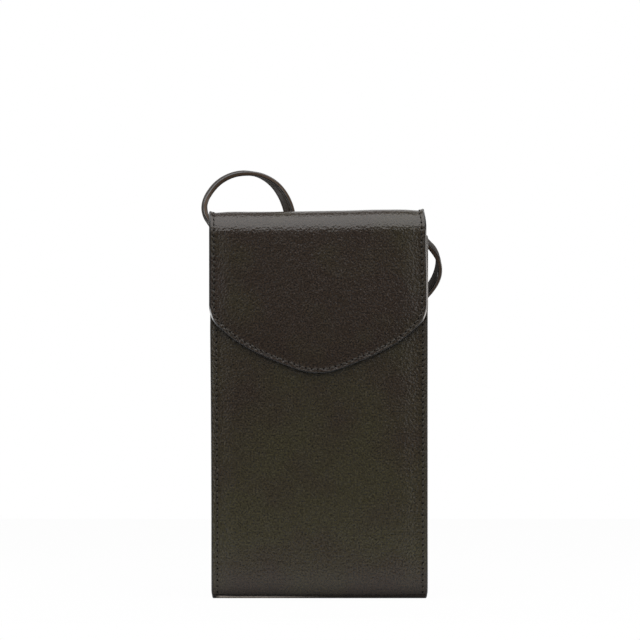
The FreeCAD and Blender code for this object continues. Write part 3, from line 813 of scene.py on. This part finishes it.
class MeshParts:
    """Small meshes gathered into one object."""

    def __init__(self, strip):
        self.strip = strip
        self.vertices = []
        self.faces = []
        self.marks = []

    def add(self, vertices, faces, marks):
        first = len(self.vertices)
        self.vertices += list(vertices)
        self.marks += list(marks)
        self.faces += [tuple(first + corner for corner in face) for face in faces]

    def joined(self, name, material):
        made = make_object(name, soften(np.array(self.vertices), self.strip), self.faces, [material], None, self.marks)
        close_and_orient(made)
        return made


def thread_bead(parts, profile, begin, end, depth, pulled, lift):
    """One stitch: a short twisted length of thread that dives into a hole at each end."""
    size = sizes()
    step = end - begin
    side = np.array((-step[1], step[0])) / np.linalg.norm(step)
    shares = (0.12, 0.2, 0.32, 0.5, 0.68, 0.8, 0.88)
    around = 8
    vertices, marks = [], []
    for share in shares:
        swell = math.sin(math.pi * share) ** 0.4
        slant = (share - 0.5) * 0.3 * MM
        dive = 0.24 * MM * (2 * share - 1) ** 4
        sunk = depth + lift * (pulled * (0.85 + 0.15 * math.cos(2 * math.pi * share)) - 0.1 * MM + dive)
        for turn in range(around):
            angle = 2 * math.pi * turn / around
            plan = begin + step * share + side * (slant + 0.5 * size.thread * swell * math.cos(angle))
            point, _, _ = profile.place(plan[1], plan[0], sunk - lift * 0.42 * size.thread * swell * math.sin(angle))
            vertices.append(point)
            marks.append((plan[0] + 0.4 * MM * angle, plan[1]))
    faces = ring_faces(len(shares), around)
    first_of_last = (len(shares) - 1) * around
    faces += [tuple(range(around)), tuple(range(first_of_last + around - 1, first_of_last - 1, -1))]
    parts.add(vertices, faces, marks)


def punched_hole(parts, profile, place, ahead, depth, lift):
    """A needle hole, as a small cap on the leather that carries the painted shade of the hole's dark mouth between two
    stitches.
    """
    side = np.array((-ahead[1], ahead[0]))
    radius = sizes().needle_hole / 2
    around = 10
    vertices, marks = [], []
    for share, height in ((1.0, -0.1), (0.94, 0.08), (0.5, 0.12), (0.0, 0.13)):
        for turn in range(around if share else 1):
            angle = 2 * math.pi * turn / around
            plan = place + (ahead * math.cos(angle) + side * 0.82 * math.sin(angle)) * radius * share
            point, _, _ = profile.place(plan[1], plan[0], depth - lift * height * MM)
            vertices.append(point)
            marks.append(tuple(plan))
    faces = ring_faces(3, around)
    faces += [(2 * around + turn, 2 * around + (turn + 1) % around, 3 * around) for turn in range(around)]
    parts.add(vertices, faces, marks)


def seam_reach(profile):
    """Where the side seams of a body strip begin and end, and how far in they run."""
    size = sizes()
    if profile.strip == "front":
        return 2.4 * MM, profile.length_to(3.0 * MM), size.front_seam_inset
    return profile.length_to(3.0 * MM), profile.length, size.seam_inset


def side_seams(profile):
    """Plan lines of the two side seams of a body strip."""
    begin, end, inset = seam_reach(profile)
    places = np.linspace(begin, end, 40)
    across = HALF_WIDTH - inset
    return [np.stack((np.full(len(places), side * across), places), axis=1) for side in (-1, 1)]


FRONT_STRIP = front_profile()
BACK_STRIP = back_profile()
FLAP = flap_profile()


def bend_over(pieces, fold):
    """Bakes each piece's placing into its mesh, in the same way at the rear fold and at the front one."""
    for piece in pieces:
        if fold == "rear":
            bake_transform(piece)
        else:
            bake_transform(piece)


class PHONEPOUCH_OT_body(bpy.types.Operator):
    """Makes the front, base and back of the pouch with its lining and side seams"""

    bl_idname = "phonepouch.body"
    bl_label = "Make body"

    def execute(self, context):
        front = body_sheet("front_panel", "leather", FRONT_STRIP, True)
        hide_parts("body_leather")
        front_suede = body_sheet("front_suede", "lining", FRONT_STRIP, True)
        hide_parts("body_lining")
        back = body_sheet("back_panel", "leather", BACK_STRIP, False)
        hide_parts("rear_fold_leather")
        back_suede = body_sheet("back_suede", "lining", BACK_STRIP, False)
        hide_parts("rear_fold_lining")
        front_seams = sewn_seam("front_seam", FRONT_STRIP, side_seams(FRONT_STRIP), 0.0, 1)
        back_seams = sewn_seam("back_seam", BACK_STRIP, side_seams(BACK_STRIP), 0.0, 1)
        for piece in [front, front_suede] + front_seams:
            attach(piece, "pouch")
        bend_over([back, back_suede] + back_seams, "rear")
        return {"FINISHED"}


class PHONEPOUCH_OT_flap(bpy.types.Operator):
    """Makes the flap with its lining and the seam round its edge"""

    bl_idname = "phonepouch.flap"
    bl_label = "Make flap"

    def execute(self, context):
        size = sizes()
        cover = flap_sheet("flap_cover", "leather")
        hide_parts("crown_leather", "front_fold_leather", "flap_leather")
        inside = flap_sheet("flap_suede", "lining")
        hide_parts("crown_lining", "front_fold_lining", "flap_lining")
        seam, _ = inset_line(flap_plan(), size.seam_inset)
        outer_seam = sewn_seam("flap_seam", FLAP, [seam], 0.0, 1)
        inner_seam = sewn_seam("flap_inner_seam", FLAP, [seam], size.leather + size.glue + size.lining, -1)
        bend_over([cover, inside] + outer_seam + inner_seam, "front")
        return {"FINISHED"}


GUSSET_FACE = 46.0 * MM
GUSSET_LEATHER = 1.2 * MM
GUSSET_FOOT = 10.475 * MM
SLIT_LOW, SLIT_HIGH, SLIT_HALF = 168.7 * MM, 171.3 * MM, 3.3 * MM
GUSSET_LOW, GUSSET_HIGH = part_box("right_gusset")
GUSSET_MIDDLE = (GUSSET_LOW[1] + GUSSET_HIGH[1]) / 2
GUSSET_HALF = (GUSSET_HIGH[1] - GUSSET_LOW[1]) / 2


def soften_between(points):
    """Moves points between the front and the back with both of them."""
    share = np.clip((points[..., 1] - GUSSET_LOW[1]) / (2 * GUSSET_HALF), 0.0, 1.0)[..., None]
    return soften(points, "front") * (1 - share) + soften(points, "back") * share


def gusset_stations():
    """The gusset's rim and its hollow, from the mouth down the front, round the foot and up the back, in Y and Z."""
    wall = sizes().leather + sizes().glue + sizes().lining + 0.03 * MM
    front = [FRONT_STRIP.place(s, 0.0, wall)[0][1:] for s in FRONT_STRIP.stations(0.3 * MM)]
    back = [BACK_STRIP.place(s, 0.0, wall)[0][1:] for s in BACK_STRIP.stations(0.3 * MM)]
    outline = np.array(front + [point for point in back[1:] if point[1] <= MOUTH_Z])
    heights = np.linspace(MOUTH_Z, GUSSET_FOOT, 70)
    front_y = np.interp(-heights, -outline[:len(front), 1], outline[:len(front), 0])
    low = outline[outline[:, 1] < GUSSET_FOOT] - (GUSSET_MIDDLE, GUSSET_FOOT)
    low_angles = np.unwrap(np.arctan2(low[:, 1], low[:, 0]))
    low_angles += 2 * math.pi if low_angles[0] < 0 else 0.0
    turns = np.linspace(math.pi, 2 * math.pi, 26)[1:-1]
    reach = np.interp(turns, low_angles, np.hypot(low[:, 0], low[:, 1]))
    hollow = GUSSET_HALF - GUSSET_LEATHER
    ray = np.stack((np.cos(turns), np.sin(turns)), axis=1)
    foot = np.array((GUSSET_MIDDLE, GUSSET_FOOT))

    def sides(front_line, reach_down, back_y):
        return np.concatenate((np.stack((front_line, heights), axis=1), foot + ray * reach_down,
                               np.stack((np.full(len(heights), back_y), heights[::-1]), axis=1)))

    rim = sides(front_y, reach[:, None], GUSSET_HIGH[1])
    inner = sides(np.full(len(heights), GUSSET_MIDDLE - hollow), hollow, GUSSET_MIDDLE + hollow)
    axis = np.stack((np.full(len(rim), GUSSET_MIDDLE), np.maximum(inner[:, 1], GUSSET_FOOT)), axis=1)
    return rim, inner, axis


# Rings of a gusset from its hidden side over the rim, down the wall and across the floor of its hollow, and back
# inside: the share of the way from rim to hollow, the share left of the way to the middle line, X in millimetres,
# and 1 for paint.
GUSSET_RINGS = [
    (0.0, 1.0, 45.3, 0), (0.0, 1.0, 49.5, 1), (0.12, 1.0, 49.85, 1), (0.5, 1.0, 49.97, 1), (0.88, 1.0, 49.85, 1),
    (1.0, 1.0, 49.5, 0), (1.0, 1.0, 48.4, 0), (1.0, 1.0, 47.2, 0), (1.0, 0.985, 46.6, 0), (1.0, 0.93, 46.2, 0),
    (1.0, 0.84, 46.03, 0), (1.0, 0.66, 46.0, 0), (1.0, 0.42, 46.0, 0), (1.0, 0.2, 46.0, 0), (1.0, 0.03, 46.0, 0),
    (1.0, 0.03, 44.8, 0), (1.0, 0.42, 44.8, 0), (1.0, 0.9, 44.8, 0), (0.2, 1.0, 44.9, 0),
]
# The floor's last ring outside and its first ring inside, each closed across the middle line.
FLOOR_OUTSIDE, FLOOR_INSIDE = 14, 15


def gusset(name, side):
    """A recessed side gusset: a leather channel with painted rims and a tongue with the strap's slit at its top."""
    rim, inner, axis = gusset_stations()
    count = len(rim)
    vertices, marks, faces, slots = [], [], [], []
    lengths = run_lengths(rim)
    across = 0.0
    for share, left, x_mm, _ in GUSSET_RINGS:
        plan = rim + (inner - rim) * share
        plan = axis + (plan - axis) * left
        height = plan[:, 1]
        sunk = 0.8 * MM * (1 - left ** 2) * smooth((142 * MM - height) / (40 * MM)) * smooth(height / (30 * MM))
        sunk *= 1 + 0.25 * np.sin(height / (13 * MM))
        ring = np.stack((np.full(count, x_mm * MM) - sunk, plan[:, 0], height), axis=1)
        if vertices:
            across += float(np.linalg.norm(ring[0] - vertices[-1][0]))
        vertices.append(ring)
        marks.append(np.stack((np.full(count, across), lengths), axis=1))
    for number, (_, _, _, paint) in enumerate(GUSSET_RINGS):
        if number != FLOOR_OUTSIDE:
            after = (number + 1) % len(GUSSET_RINGS)
            faces += strip_faces(number * count + np.arange(count), after * count + np.arange(count))
            slots += [paint] * (count - 1)
    for number in (FLOOR_OUTSIDE, FLOOR_INSIDE):
        for one in range(count // 2 - 1):
            a, b = number * count + one, number * count + count - 1 - one
            faces.append((a, a + 1, b - 1, b))
            slots.append(0)
    body = np.concatenate(vertices)
    tongue, tongue_faces, tongue_slots = gusset_tongue()
    faces += [tuple(corner + len(body) for corner in face) for face in tongue_faces]
    slots += tongue_slots
    points = np.concatenate((body, tongue))
    places = np.concatenate((np.concatenate(marks), tongue[:, 1:]))
    points[:, 0] *= side
    made = make_object(name, soften_between(points), faces, [gusset_leather(), edge_paint()], slots, places)
    close_and_orient(made)
    made.data.set_sharp_from_angle(angle=math.radians(50))
    return made


def gusset_tongue():
    """The gusset's tongue above the mouth, with a slit for the strap: points, faces and their materials."""
    half = GUSSET_HALF - 0.2 * MM
    slit = SLIT_HALF / half
    beside, over_slit = 4, 9
    shares = np.concatenate((np.linspace(-1.0, -slit, beside), np.linspace(-slit, slit, over_slit)[1:-1],
                             np.linspace(slit, 1.0, beside)))
    turns = np.radians(np.linspace(0, 84, 13))
    rows = [(MOUTH_Z, half), (SLIT_LOW, half), (SLIT_HIGH, half)]
    rows += [(SLIT_HIGH + half * math.sin(turn), half * math.cos(turn)) for turn in turns[1:]]
    columns = len(shares)
    points, faces, slots = [], [], []
    for x in (GUSSET_FACE, GUSSET_FACE - GUSSET_LEATHER):
        for height, wide in rows:
            points += [(x, GUSSET_MIDDLE + wide * share, height) for share in shares]
    layer = len(rows) * columns
    border = set()
    for row in range(len(rows) - 1):
        for column in range(columns - 1):
            in_slit = row == 1 and beside - 1 <= column < columns - beside
            if in_slit:
                continue
            a = row * columns + column
            face = (a, a + 1, a + columns + 1, a + columns)
            faces += [face, tuple(corner + layer for corner in face[::-1])]
            slots += [0, 0]
            for edge in zip(face, face[1:] + face[:1]):
                if edge[::-1] in border:
                    border.remove(edge[::-1])
                else:
                    border.add(edge)
    for a, b in sorted(border):
        faces.append((b, a, a + layer, b + layer))
        slots.append(1)
    return np.array(points), faces, slots


class PHONEPOUCH_OT_gussets(bpy.types.Operator):
    """Makes the two recessed side gussets"""

    bl_idname = "phonepouch.gussets"
    bl_label = "Make gussets"

    def execute(self, context):
        for side, name in ((-1, "left"), (1, "right")):
            made = gusset(name + "_side", side)
            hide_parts(name + "_gusset")
            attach(made, "pouch")
        return {"FINISHED"}


class PHONEPOUCH_OT_fittings(bpy.types.Operator):
    """Gives the rivets and magnets their finishes"""

    bl_idname = "phonepouch.fittings"
    bl_label = "Finish fittings"

    def execute(self, context):
        finishes = {
            "left_strap_rivet": plated_metal("Antiqued_brass", colours().brass, 0.34, 0.6),
            "right_strap_rivet": plated_metal("Antiqued_brass", colours().brass, 0.34, 0.6),
            "front_magnet": plated_metal("Nickel_plate", colours().nickel, 0.25, 0.5),
            "flap_magnet": plated_metal("Nickel_plate", colours().nickel, 0.25, 0.5),
        }
        for node, material in finishes.items():
            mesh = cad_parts[node].data
            mesh.materials.clear()
            mesh.materials.append(material)
        return {"FINISHED"}


def hank_points():
    """Route of the put-away strap: loops drawn in at the waist, first in the near layer and then in the far one."""
    wide, narrow = 21.0, 18.1
    near, far = 13.7, 20.3
    low, high, waist_low, waist_high = 22.4, 126.0, 66.0, 82.0
    runs = [(-wide, near, near), (wide, near, near), (-narrow, near, near), (narrow, near, far), (-narrow, far, far),
            (wide, far, far)]
    points = []
    for number, (x, begin_y, end_y) in enumerate(runs):
        up = x > 0
        drawn = x - math.copysign(10.0, x)
        eased = x - math.copysign(1.6, x)
        tight = x - math.copysign(8.4, x)
        shape = [(eased, low + 13.0), (tight, waist_low - 13.0), (drawn, waist_low - 3.0), (drawn, waist_high + 3.0),
                 (tight, waist_high + 13.0), (eased, high - 13.0)]
        if not up:
            shape = [(place, low + high - height) for place, height in shape]
        last_run = number == len(runs) - 1
        for part, (place, height) in enumerate(shape[:4] if last_run else shape):
            y = begin_y + (end_y - begin_y) * (part + 0.5) / len(shape)
            points.append((place, y, height, 0))
        if last_run:
            break
        next_x = runs[number + 1][0]
        centre = (x + next_x) / 2
        radius = abs(next_x - x) / 2
        level = high if up else low
        for turn in (22.5, 67.5, 112.5, 157.5):
            angle = math.radians(turn)
            reach = radius / math.cos(math.radians(22.5))
            rise = reach * math.sin(angle)
            points.append((centre - math.copysign(1, next_x - x) * reach * math.cos(angle), end_y,
                           level + rise if up else level - rise, 0))
    return points


# Each point of a loop is X, Y, Z in millimetres and the turn in degrees of the strap's width out of the Y direction.
LEFT_LOOP = [
    (-46.0, 1.3, 170.0, 0), (-48.4, 1.3, 171.2, 5), (-50.7, 1.8, 174.8, 10), (-52.8, 5.0, 178.4, 11),
    (-53.5, 10.0, 183.0, 12), (-51.9, 13.2, 188.0, 13), (-47.3, 14.0, 193.8, 13), (-41.0, 14.0, 197.3, 10),
    (-34.6, 14.0, 198.4, 9),
    (-27.4, 14.0, 197.4, -4), (-20.8, 14.0, 193.4, -22), (-16.4, 13.9, 187.6, -38), (-13.7, 13.8, 180.8, -46),
    (-12.4, 13.7, 172.0, -44), (-14.2, 13.8, 161.0, -28), (-18.2, 13.8, 150.0, -8), (-20.8, 13.7, 139.0, 0),
    (-21.0, 13.7, 127.0, 0),
]
RIGHT_LOOP = [
    (11.0, 20.3, 88.0, 0), (12.6, 20.3, 96.0, 0), (18.8, 20.3, 107.0, 3), (28.0, 19.9, 118.0, 10),
    (37.8, 18.6, 129.0, 24), (46.4, 16.4, 137.8, 34), (51.8, 14.2, 143.2, 33), (55.2, 11.2, 148.6, 30),
    (56.4, 7.6, 153.6, 16), (55.9, 4.4, 158.2, -6), (53.5, 2.4, 162.2, -20), (50.4, 1.4, 165.3, -15),
    (48.2, 1.3, 169.1, -4), (46.0, 1.3, 170.0, 0),
]


def spline_line(name, points):
    """Points along a smooth NURBS spline through a route, as an array."""
    curve = bpy.data.curves.new(name, "CURVE")
    curve.dimensions = "3D"
    curve.resolution_u = 10
    spline = curve.splines.new("NURBS")
    spline.points.add(len(points) - 1)
    for knot, point in zip(spline.points, points):
        knot.co = (point[0] * MM, point[1] * MM, point[2] * MM, 1.0)
    spline.order_u = 3
    spline.use_endpoint_u = True
    holder = bpy.data.objects.new(name, curve)
    bpy.context.scene.collection.objects.link(holder)
    bpy.context.view_layer.update()
    line = bpy.data.meshes.new_from_object(holder)
    found = np.array([tuple(vertex.co) for vertex in line.vertices])
    bpy.data.objects.remove(holder)
    bpy.data.curves.remove(curve)
    bpy.data.meshes.remove(line)
    return found


def strap_section(width, thickness):
    """Strap section: two faces with a crease near each edge, rolled corners and flat edges.

    With it comes the material of each stretch: 0 for the face, 1 for the painted corners and 2 for the cut edges.
    """
    half, deep, corner = width / 2, thickness / 2, 0.5 * MM
    border = [(1.9, 0.04), (1.4, 0.02), (1.2, -0.14), (1.05, -0.02), (0.7, -0.01)]
    side = [(half - inset * MM, deep + rise * MM) for inset, rise in border]
    for turn in np.radians((0.0, 30.0, 60.0, 90.0)):
        side.append((half - corner + corner * math.sin(turn), deep - corner + corner * math.cos(turn)))
    face = [(-across, up) for across, up in side[::-1]] + [(0.0, deep + 0.08 * MM)] + side
    section = face + [(half + 0.04 * MM, 0.0)]
    section += [(-across, -up) for across, up in section]
    stretches = [1] * 3 + [0] * (len(face) - 7) + [1] * 3 + [2] * 2
    return np.array(section), stretches * 2


def flat_strap(name, line, twist, width, thickness):
    """A flat strap along a line, its width across Y turned by a twist in degrees at each point."""
    section, stretches = strap_section(width, thickness)
    count = len(line)
    tangent = unit(np.gradient(line, axis=0))
    across = np.tile((0.0, 1.0, 0.0), (count, 1))
    across = unit(across - tangent * np.sum(across * tangent, axis=1, keepdims=True))
    up = np.cross(tangent, across)
    turn = np.radians(twist)[:, None]
    wide = across * np.cos(turn) + up * np.sin(turn)
    high = up * np.cos(turn) - across * np.sin(turn)
    vertices = (line[:, None, :] + wide[:, None, :] * section[None, :, 0, None]
                + high[:, None, :] * section[None, :, 1, None])
    around = len(section)
    # The two faces lie apart on the grain's pattern.
    places = np.tile(section[:, 0] + 20 * MM * np.sign(section[:, 1]), (count, 1))
    marks = np.stack((places, np.repeat(run_lengths(line)[:, None], around, axis=1)), axis=-1)
    made = make_object(name, vertices.reshape(-1, 3), ring_faces(count, around),
                       [strap_leather(), polished_corner(), burnished_edge()], stretches * (count - 1),
                       marks.reshape(-1, 2))
    close_and_orient(made)
    return made


class PHONEPOUCH_OT_strap(bpy.types.Operator):
    """Makes the shoulder strap with its two free loops, the hank behind the pouch, the tie and the riveted tails"""

    bl_idname = "phonepouch.strap"
    bl_label = "Make strap"

    def execute(self, context):
        size = sizes()
        route = LEFT_LOOP + hank_points() + RIGHT_LOOP
        line = spline_line("strap_route", [point[:3] for point in route])
        twist = spline_line("strap_turn", [(point[3], 0.0, 0.0) for point in route])[:, 0] / MM
        strap = flat_strap("strap", line, twist, size.strap_width, size.strap_thickness)
        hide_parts("strap_left_run", "strap_hank", "strap_right_run")
        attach(strap, "pouch")
        tie = self.tie_band()
        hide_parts("strap_tie")
        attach(tie, "pouch")
        for side, node in ((-1, "left_strap_tail"), (1, "right_strap_tail")):
            route = [(46.0, 1.325, 170.0), (44.6, 1.325, 170.0), (43.7, 1.325, 169.2), (43.7, 1.325, 167.0),
                     (43.7, 1.325, 158.0), (43.7, 1.325, 148.9)]
            tail_line = spline_line("tail_route", [(side * point[0], point[1], point[2]) for point in route])
            tail = flat_strap("tail_" + ("left" if side < 0 else "right"), tail_line, np.zeros(len(tail_line)),
                              size.strap_width, size.strap_thickness)
            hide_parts(node)
            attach(tail, "pouch")
        return {"FINISHED"}

    def tie_band(self):
        """The narrow leather band round the hank's waist, glued where its end laps over its start."""
        low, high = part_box("strap_tie")
        middle_z = (low[2] + high[2]) / 2
        half, deep = (high[2] - low[2]) / 2, 0.5 * MM
        half_x = (high[0] - low[0]) / 2 - deep
        near, far = low[1] + deep, high[1] - deep
        corner = 1.4 * MM
        line = [(3.0 * MM, far), (0.0, far), (-6.0 * MM, far)]
        for centre_x, centre_y, first in ((-half_x + corner, far - corner, 90), (-half_x + corner, near + corner, 180),
                                          (half_x - corner, near + corner, 270), (half_x - corner, far - corner, 0)):
            for turn in range(0, 91, 15):
                angle = math.radians(first + turn)
                line.append((centre_x + corner * math.cos(angle), centre_y + corner * math.sin(angle)))
        lap = 2 * deep + 0.05 * MM
        for place, rise in ((8.4, 0.0), (6.6, 0.25), (5.0, 0.75), (3.4, 1.0), (0.0, 1.0), (-4.0, 1.0), (-7.0, 1.0)):
            line.append((place * MM, far + rise * lap))
        line = np.array(line)
        tangent = unit(np.gradient(line, axis=0))
        outward = np.stack((tangent[:, 1], -tangent[:, 0]), axis=1)
        bevel, flat = half - 0.3 * MM, 0.2 * MM
        section = [(-bevel, deep), (0.0, deep + 0.05 * MM), (bevel, deep), (half, flat), (half, -flat),
                   (bevel, -deep), (0.0, -deep), (-bevel, -deep), (-half, -flat), (-half, flat)]
        paints = [0, 0, 1, 1, 1, 0, 0, 1, 1, 1]
        vertices, marks = [], []
        for point, away, length in zip(line, outward, run_lengths(line)):
            for up, out in section:
                vertices.append((point[0] + away[0] * out, point[1] + away[1] * out, middle_z + up))
                marks.append((up, length))
        made = make_object("tie_band", vertices, ring_faces(len(line), len(section)),
                           [strap_leather(), burnished_edge()], paints * (len(line) - 1), marks)
        close_and_orient(made)
        return made


# The camera: its way from the flap, the width of the picture there, and the place it looks at.
VIEW_DISTANCE = 1.5
VIEW_WIDTH = 640 * 0.4624 * MM
VIEW_X, VIEW_Z = 0.7 * MM, 129.2 * MM
SENSOR_WIDTH = 36.0
WARM_LIGHT, WHITE_LIGHT = (1.0, 0.94, 0.89), (1.0, 1.0, 1.0)
# Name, place, turn in degrees, width, length, radiance and colour of each lamp.
LAMPS = (
    ("soft_box", (0.0, -0.66, 0.78), (0, 0, 0), 1.7, 1.46, 2.6, WHITE_LIGHT),
    ("rim_box", (0.85, 0.68, 0.14), (90, 0, 129), 0.7, 0.24, 3.2, WARM_LIGHT),
    ("left_card", (-0.7, -1.2, 0.25), (90, 0, -31), 0.5, 0.8, 0.9, WHITE_LIGHT),
    ("right_card", (0.7, -1.2, 0.25), (90, 0, 31), 0.5, 0.8, 1.3, WHITE_LIGHT),
    ("left_strip", (-0.32, 0.1, 0.05), (106, 0, -112), 0.26, 0.1, 4.4, WHITE_LIGHT),
    ("right_strip", (0.32, 0.1, 0.05), (106, 0, 112), 0.26, 0.1, 3.8, WARM_LIGHT),
)


def mirrored_rays(tree):
    """The light path, and the rays that come by way of a gloss or through glass."""
    path = add_node(tree, "LightPath")
    beyond = add_node(tree, "Math", {"operation": "MAXIMUM"},
                      links={0: path.outputs["Is Glossy Ray"], 1: path.outputs["Is Transmission Ray"]})
    return path, beyond


class PHONEPOUCH_OT_stage(bpy.types.Operator):
    """Sets the camera, the studio light and the floor"""

    bl_idname = "phonepouch.stage"
    bl_label = "Set stage"

    def execute(self, context):
        scene = context.scene
        scene.view_settings.view_transform = "Standard"
        self.camera(scene)
        self.lights(scene)
        self.floor()
        self.world(scene)
        return {"FINISHED"}

    def camera(self, scene):
        """Level with the pouch, straight in front, on a long lens."""
        data = bpy.data.cameras.new("camera")
        camera = bpy.data.objects.new("camera", data)
        scene.collection.objects.link(camera)
        data.sensor_width = SENSOR_WIDTH
        data.lens = SENSOR_WIDTH * VIEW_DISTANCE / VIEW_WIDTH
        data.clip_end = 20.0
        camera.location = (VIEW_X, FLAP_LOW[1] - VIEW_DISTANCE, VIEW_Z)
        camera.rotation_euler = (math.radians(90), 0, 0)
        scene.camera = camera

    def lights(self, scene):
        """A large soft box overhead, reaching forward, and a narrow one behind at the right for the rims.

        At each side there are a white card in front and a low strip behind.
        """
        for name, place, turn, width, length, radiance, colour in LAMPS:
            data = bpy.data.lights.new(name, "AREA")
            data.shape = "RECTANGLE"
            data.size = width
            data.size_y = length
            data.energy = radiance * math.pi * width * length
            data.color = colour
            lamp = bpy.data.objects.new(name, data)
            lamp.location = place
            lamp.rotation_euler = [math.radians(part) for part in turn]
            scene.collection.objects.link(lamp)

    def floor(self):
        """A pale table top that takes the pouch's shadow; it ends a little way in front of the pouch."""
        left, right, near, far = -1.2, 1.2, -0.13, 0.6
        floor = make_object("floor", [(left, near, 0), (right, near, 0), (right, far, 0), (left, far, 0)],
                            [(0, 1, 2, 3)], [self.floor_paint()])

    def floor_paint(self):
        """Matt white laminate; seen directly or in a gloss it shows as the white of the studio, with a soft shadow.

        From below it is clear, so that the underside of the pouch can be looked at.
        """
        material, tree = new_material("White_laminate")
        if tree is None:
            return material
        matt = add_node(tree, "BsdfDiffuse", values={"Color": with_alpha(colours().floor)})
        white = add_node(tree, "Emission", values={"Color": (1, 1, 1, 1), "Strength": 1.0})
        path, beyond = mirrored_rays(tree)
        mirrored = add_node(tree, "Math", {"operation": "MULTIPLY"}, {1: 0.02}, {0: beyond})
        share = add_node(tree, "Math", {"operation": "MULTIPLY_ADD"}, {1: 0.97},
                         {0: path.outputs["Is Camera Ray"], 2: mirrored})
        both = add_node(tree, "MixShader", links={0: share, 1: matt, 2: white})
        face = add_node(tree, "NewGeometry")
        clear = add_node(tree, "BsdfTransparent")
        one_sided = add_node(tree, "MixShader", links={0: face.outputs["Backfacing"], 1: both, 2: clear})
        add_node(tree, "OutputMaterial", links={"Surface": one_sided})
        return material

    def world(self, scene):
        """White seen directly; as light, a dim room with a white wall behind the table, below the soft box."""
        world = bpy.data.worlds.new("studio")
        scene.world = world
        world.use_nodes = True
        tree = world.node_tree
        tree.nodes.clear()
        place = add_node(tree, "TexCoord")
        parts = add_node(tree, "SeparateXYZ", links={"Vector": place.outputs["Generated"]})
        behind = add_node(tree, "MapRange", {"interpolation_type": "SMOOTHSTEP"},
                          {"From Min": 0.42, "From Max": 0.62}, {"Value": parts.outputs["Y"]})
        above = add_node(tree, "MapRange", {"interpolation_type": "SMOOTHSTEP"},
                         {"From Min": 0.1, "From Max": 0.3}, {"Value": parts.outputs["Z"]})
        wall = add_node(tree, "Math", {"operation": "MULTIPLY"}, links={0: behind, 1: above})
        room = add_node(tree, "MapRange", values={"To Min": 0.08, "To Max": 1.0}, links={"Value": wall})
        path, beyond = mirrored_rays(tree)
        share = add_node(tree, "Math", {"operation": "MULTIPLY_ADD"}, {1: 0.08},
                         {0: beyond, 2: path.outputs["Is Camera Ray"]})
        strength = add_node(tree, "Mix", {"data_type": "FLOAT"}, {3: 1.0}, {0: share, 2: room})
        glow = add_node(tree, "Background", values={"Color": (1, 1, 1, 1)}, links={"Strength": strength})
        add_node(tree, "OutputWorld", links={"Surface": glow})


class PHONEPOUCH_PT_panel(bpy.types.Panel):
    """Lists the pouch's sizes, colours and steps"""

    bl_idname = "PHONEPOUCH_PT_panel"
    bl_label = "Phone Pouch"
    bl_space_type = "VIEW_3D"
    bl_region_type = "UI"
    bl_category = "Phone Pouch"

    def draw(self, context):
        for operator in OPERATORS:
            self.layout.operator(operator.bl_idname)
        for group in (context.scene.pouch_sizes, context.scene.pouch_colours):
            column = self.layout.column(align=True)
            for name in group.__annotations__:
                column.prop(group, name)


OPERATORS = (PHONEPOUCH_OT_stage, PHONEPOUCH_OT_strap, PHONEPOUCH_OT_body, PHONEPOUCH_OT_flap, PHONEPOUCH_OT_gussets,
             PHONEPOUCH_OT_fittings)
CLASSES = (PouchSizes, PouchColours) + OPERATORS + (PHONEPOUCH_PT_panel,)


def register():
    for made in CLASSES:
        bpy.utils.register_class(made)
    bpy.types.Scene.pouch_sizes = PointerProperty(type=PouchSizes)
    bpy.types.Scene.pouch_colours = PointerProperty(type=PouchColours)


def unregister():
    del bpy.types.Scene.pouch_colours
    del bpy.types.Scene.pouch_sizes
    for made in reversed(CLASSES):
        bpy.utils.unregister_class(made)


def main():
    register()
    bpy.ops.phonepouch.stage()
    bpy.ops.phonepouch.strap()
    bpy.ops.phonepouch.body()
    bpy.ops.phonepouch.flap()
    bpy.ops.phonepouch.gussets()
    bpy.ops.phonepouch.fittings()


if __name__ == "__main__":
    main()
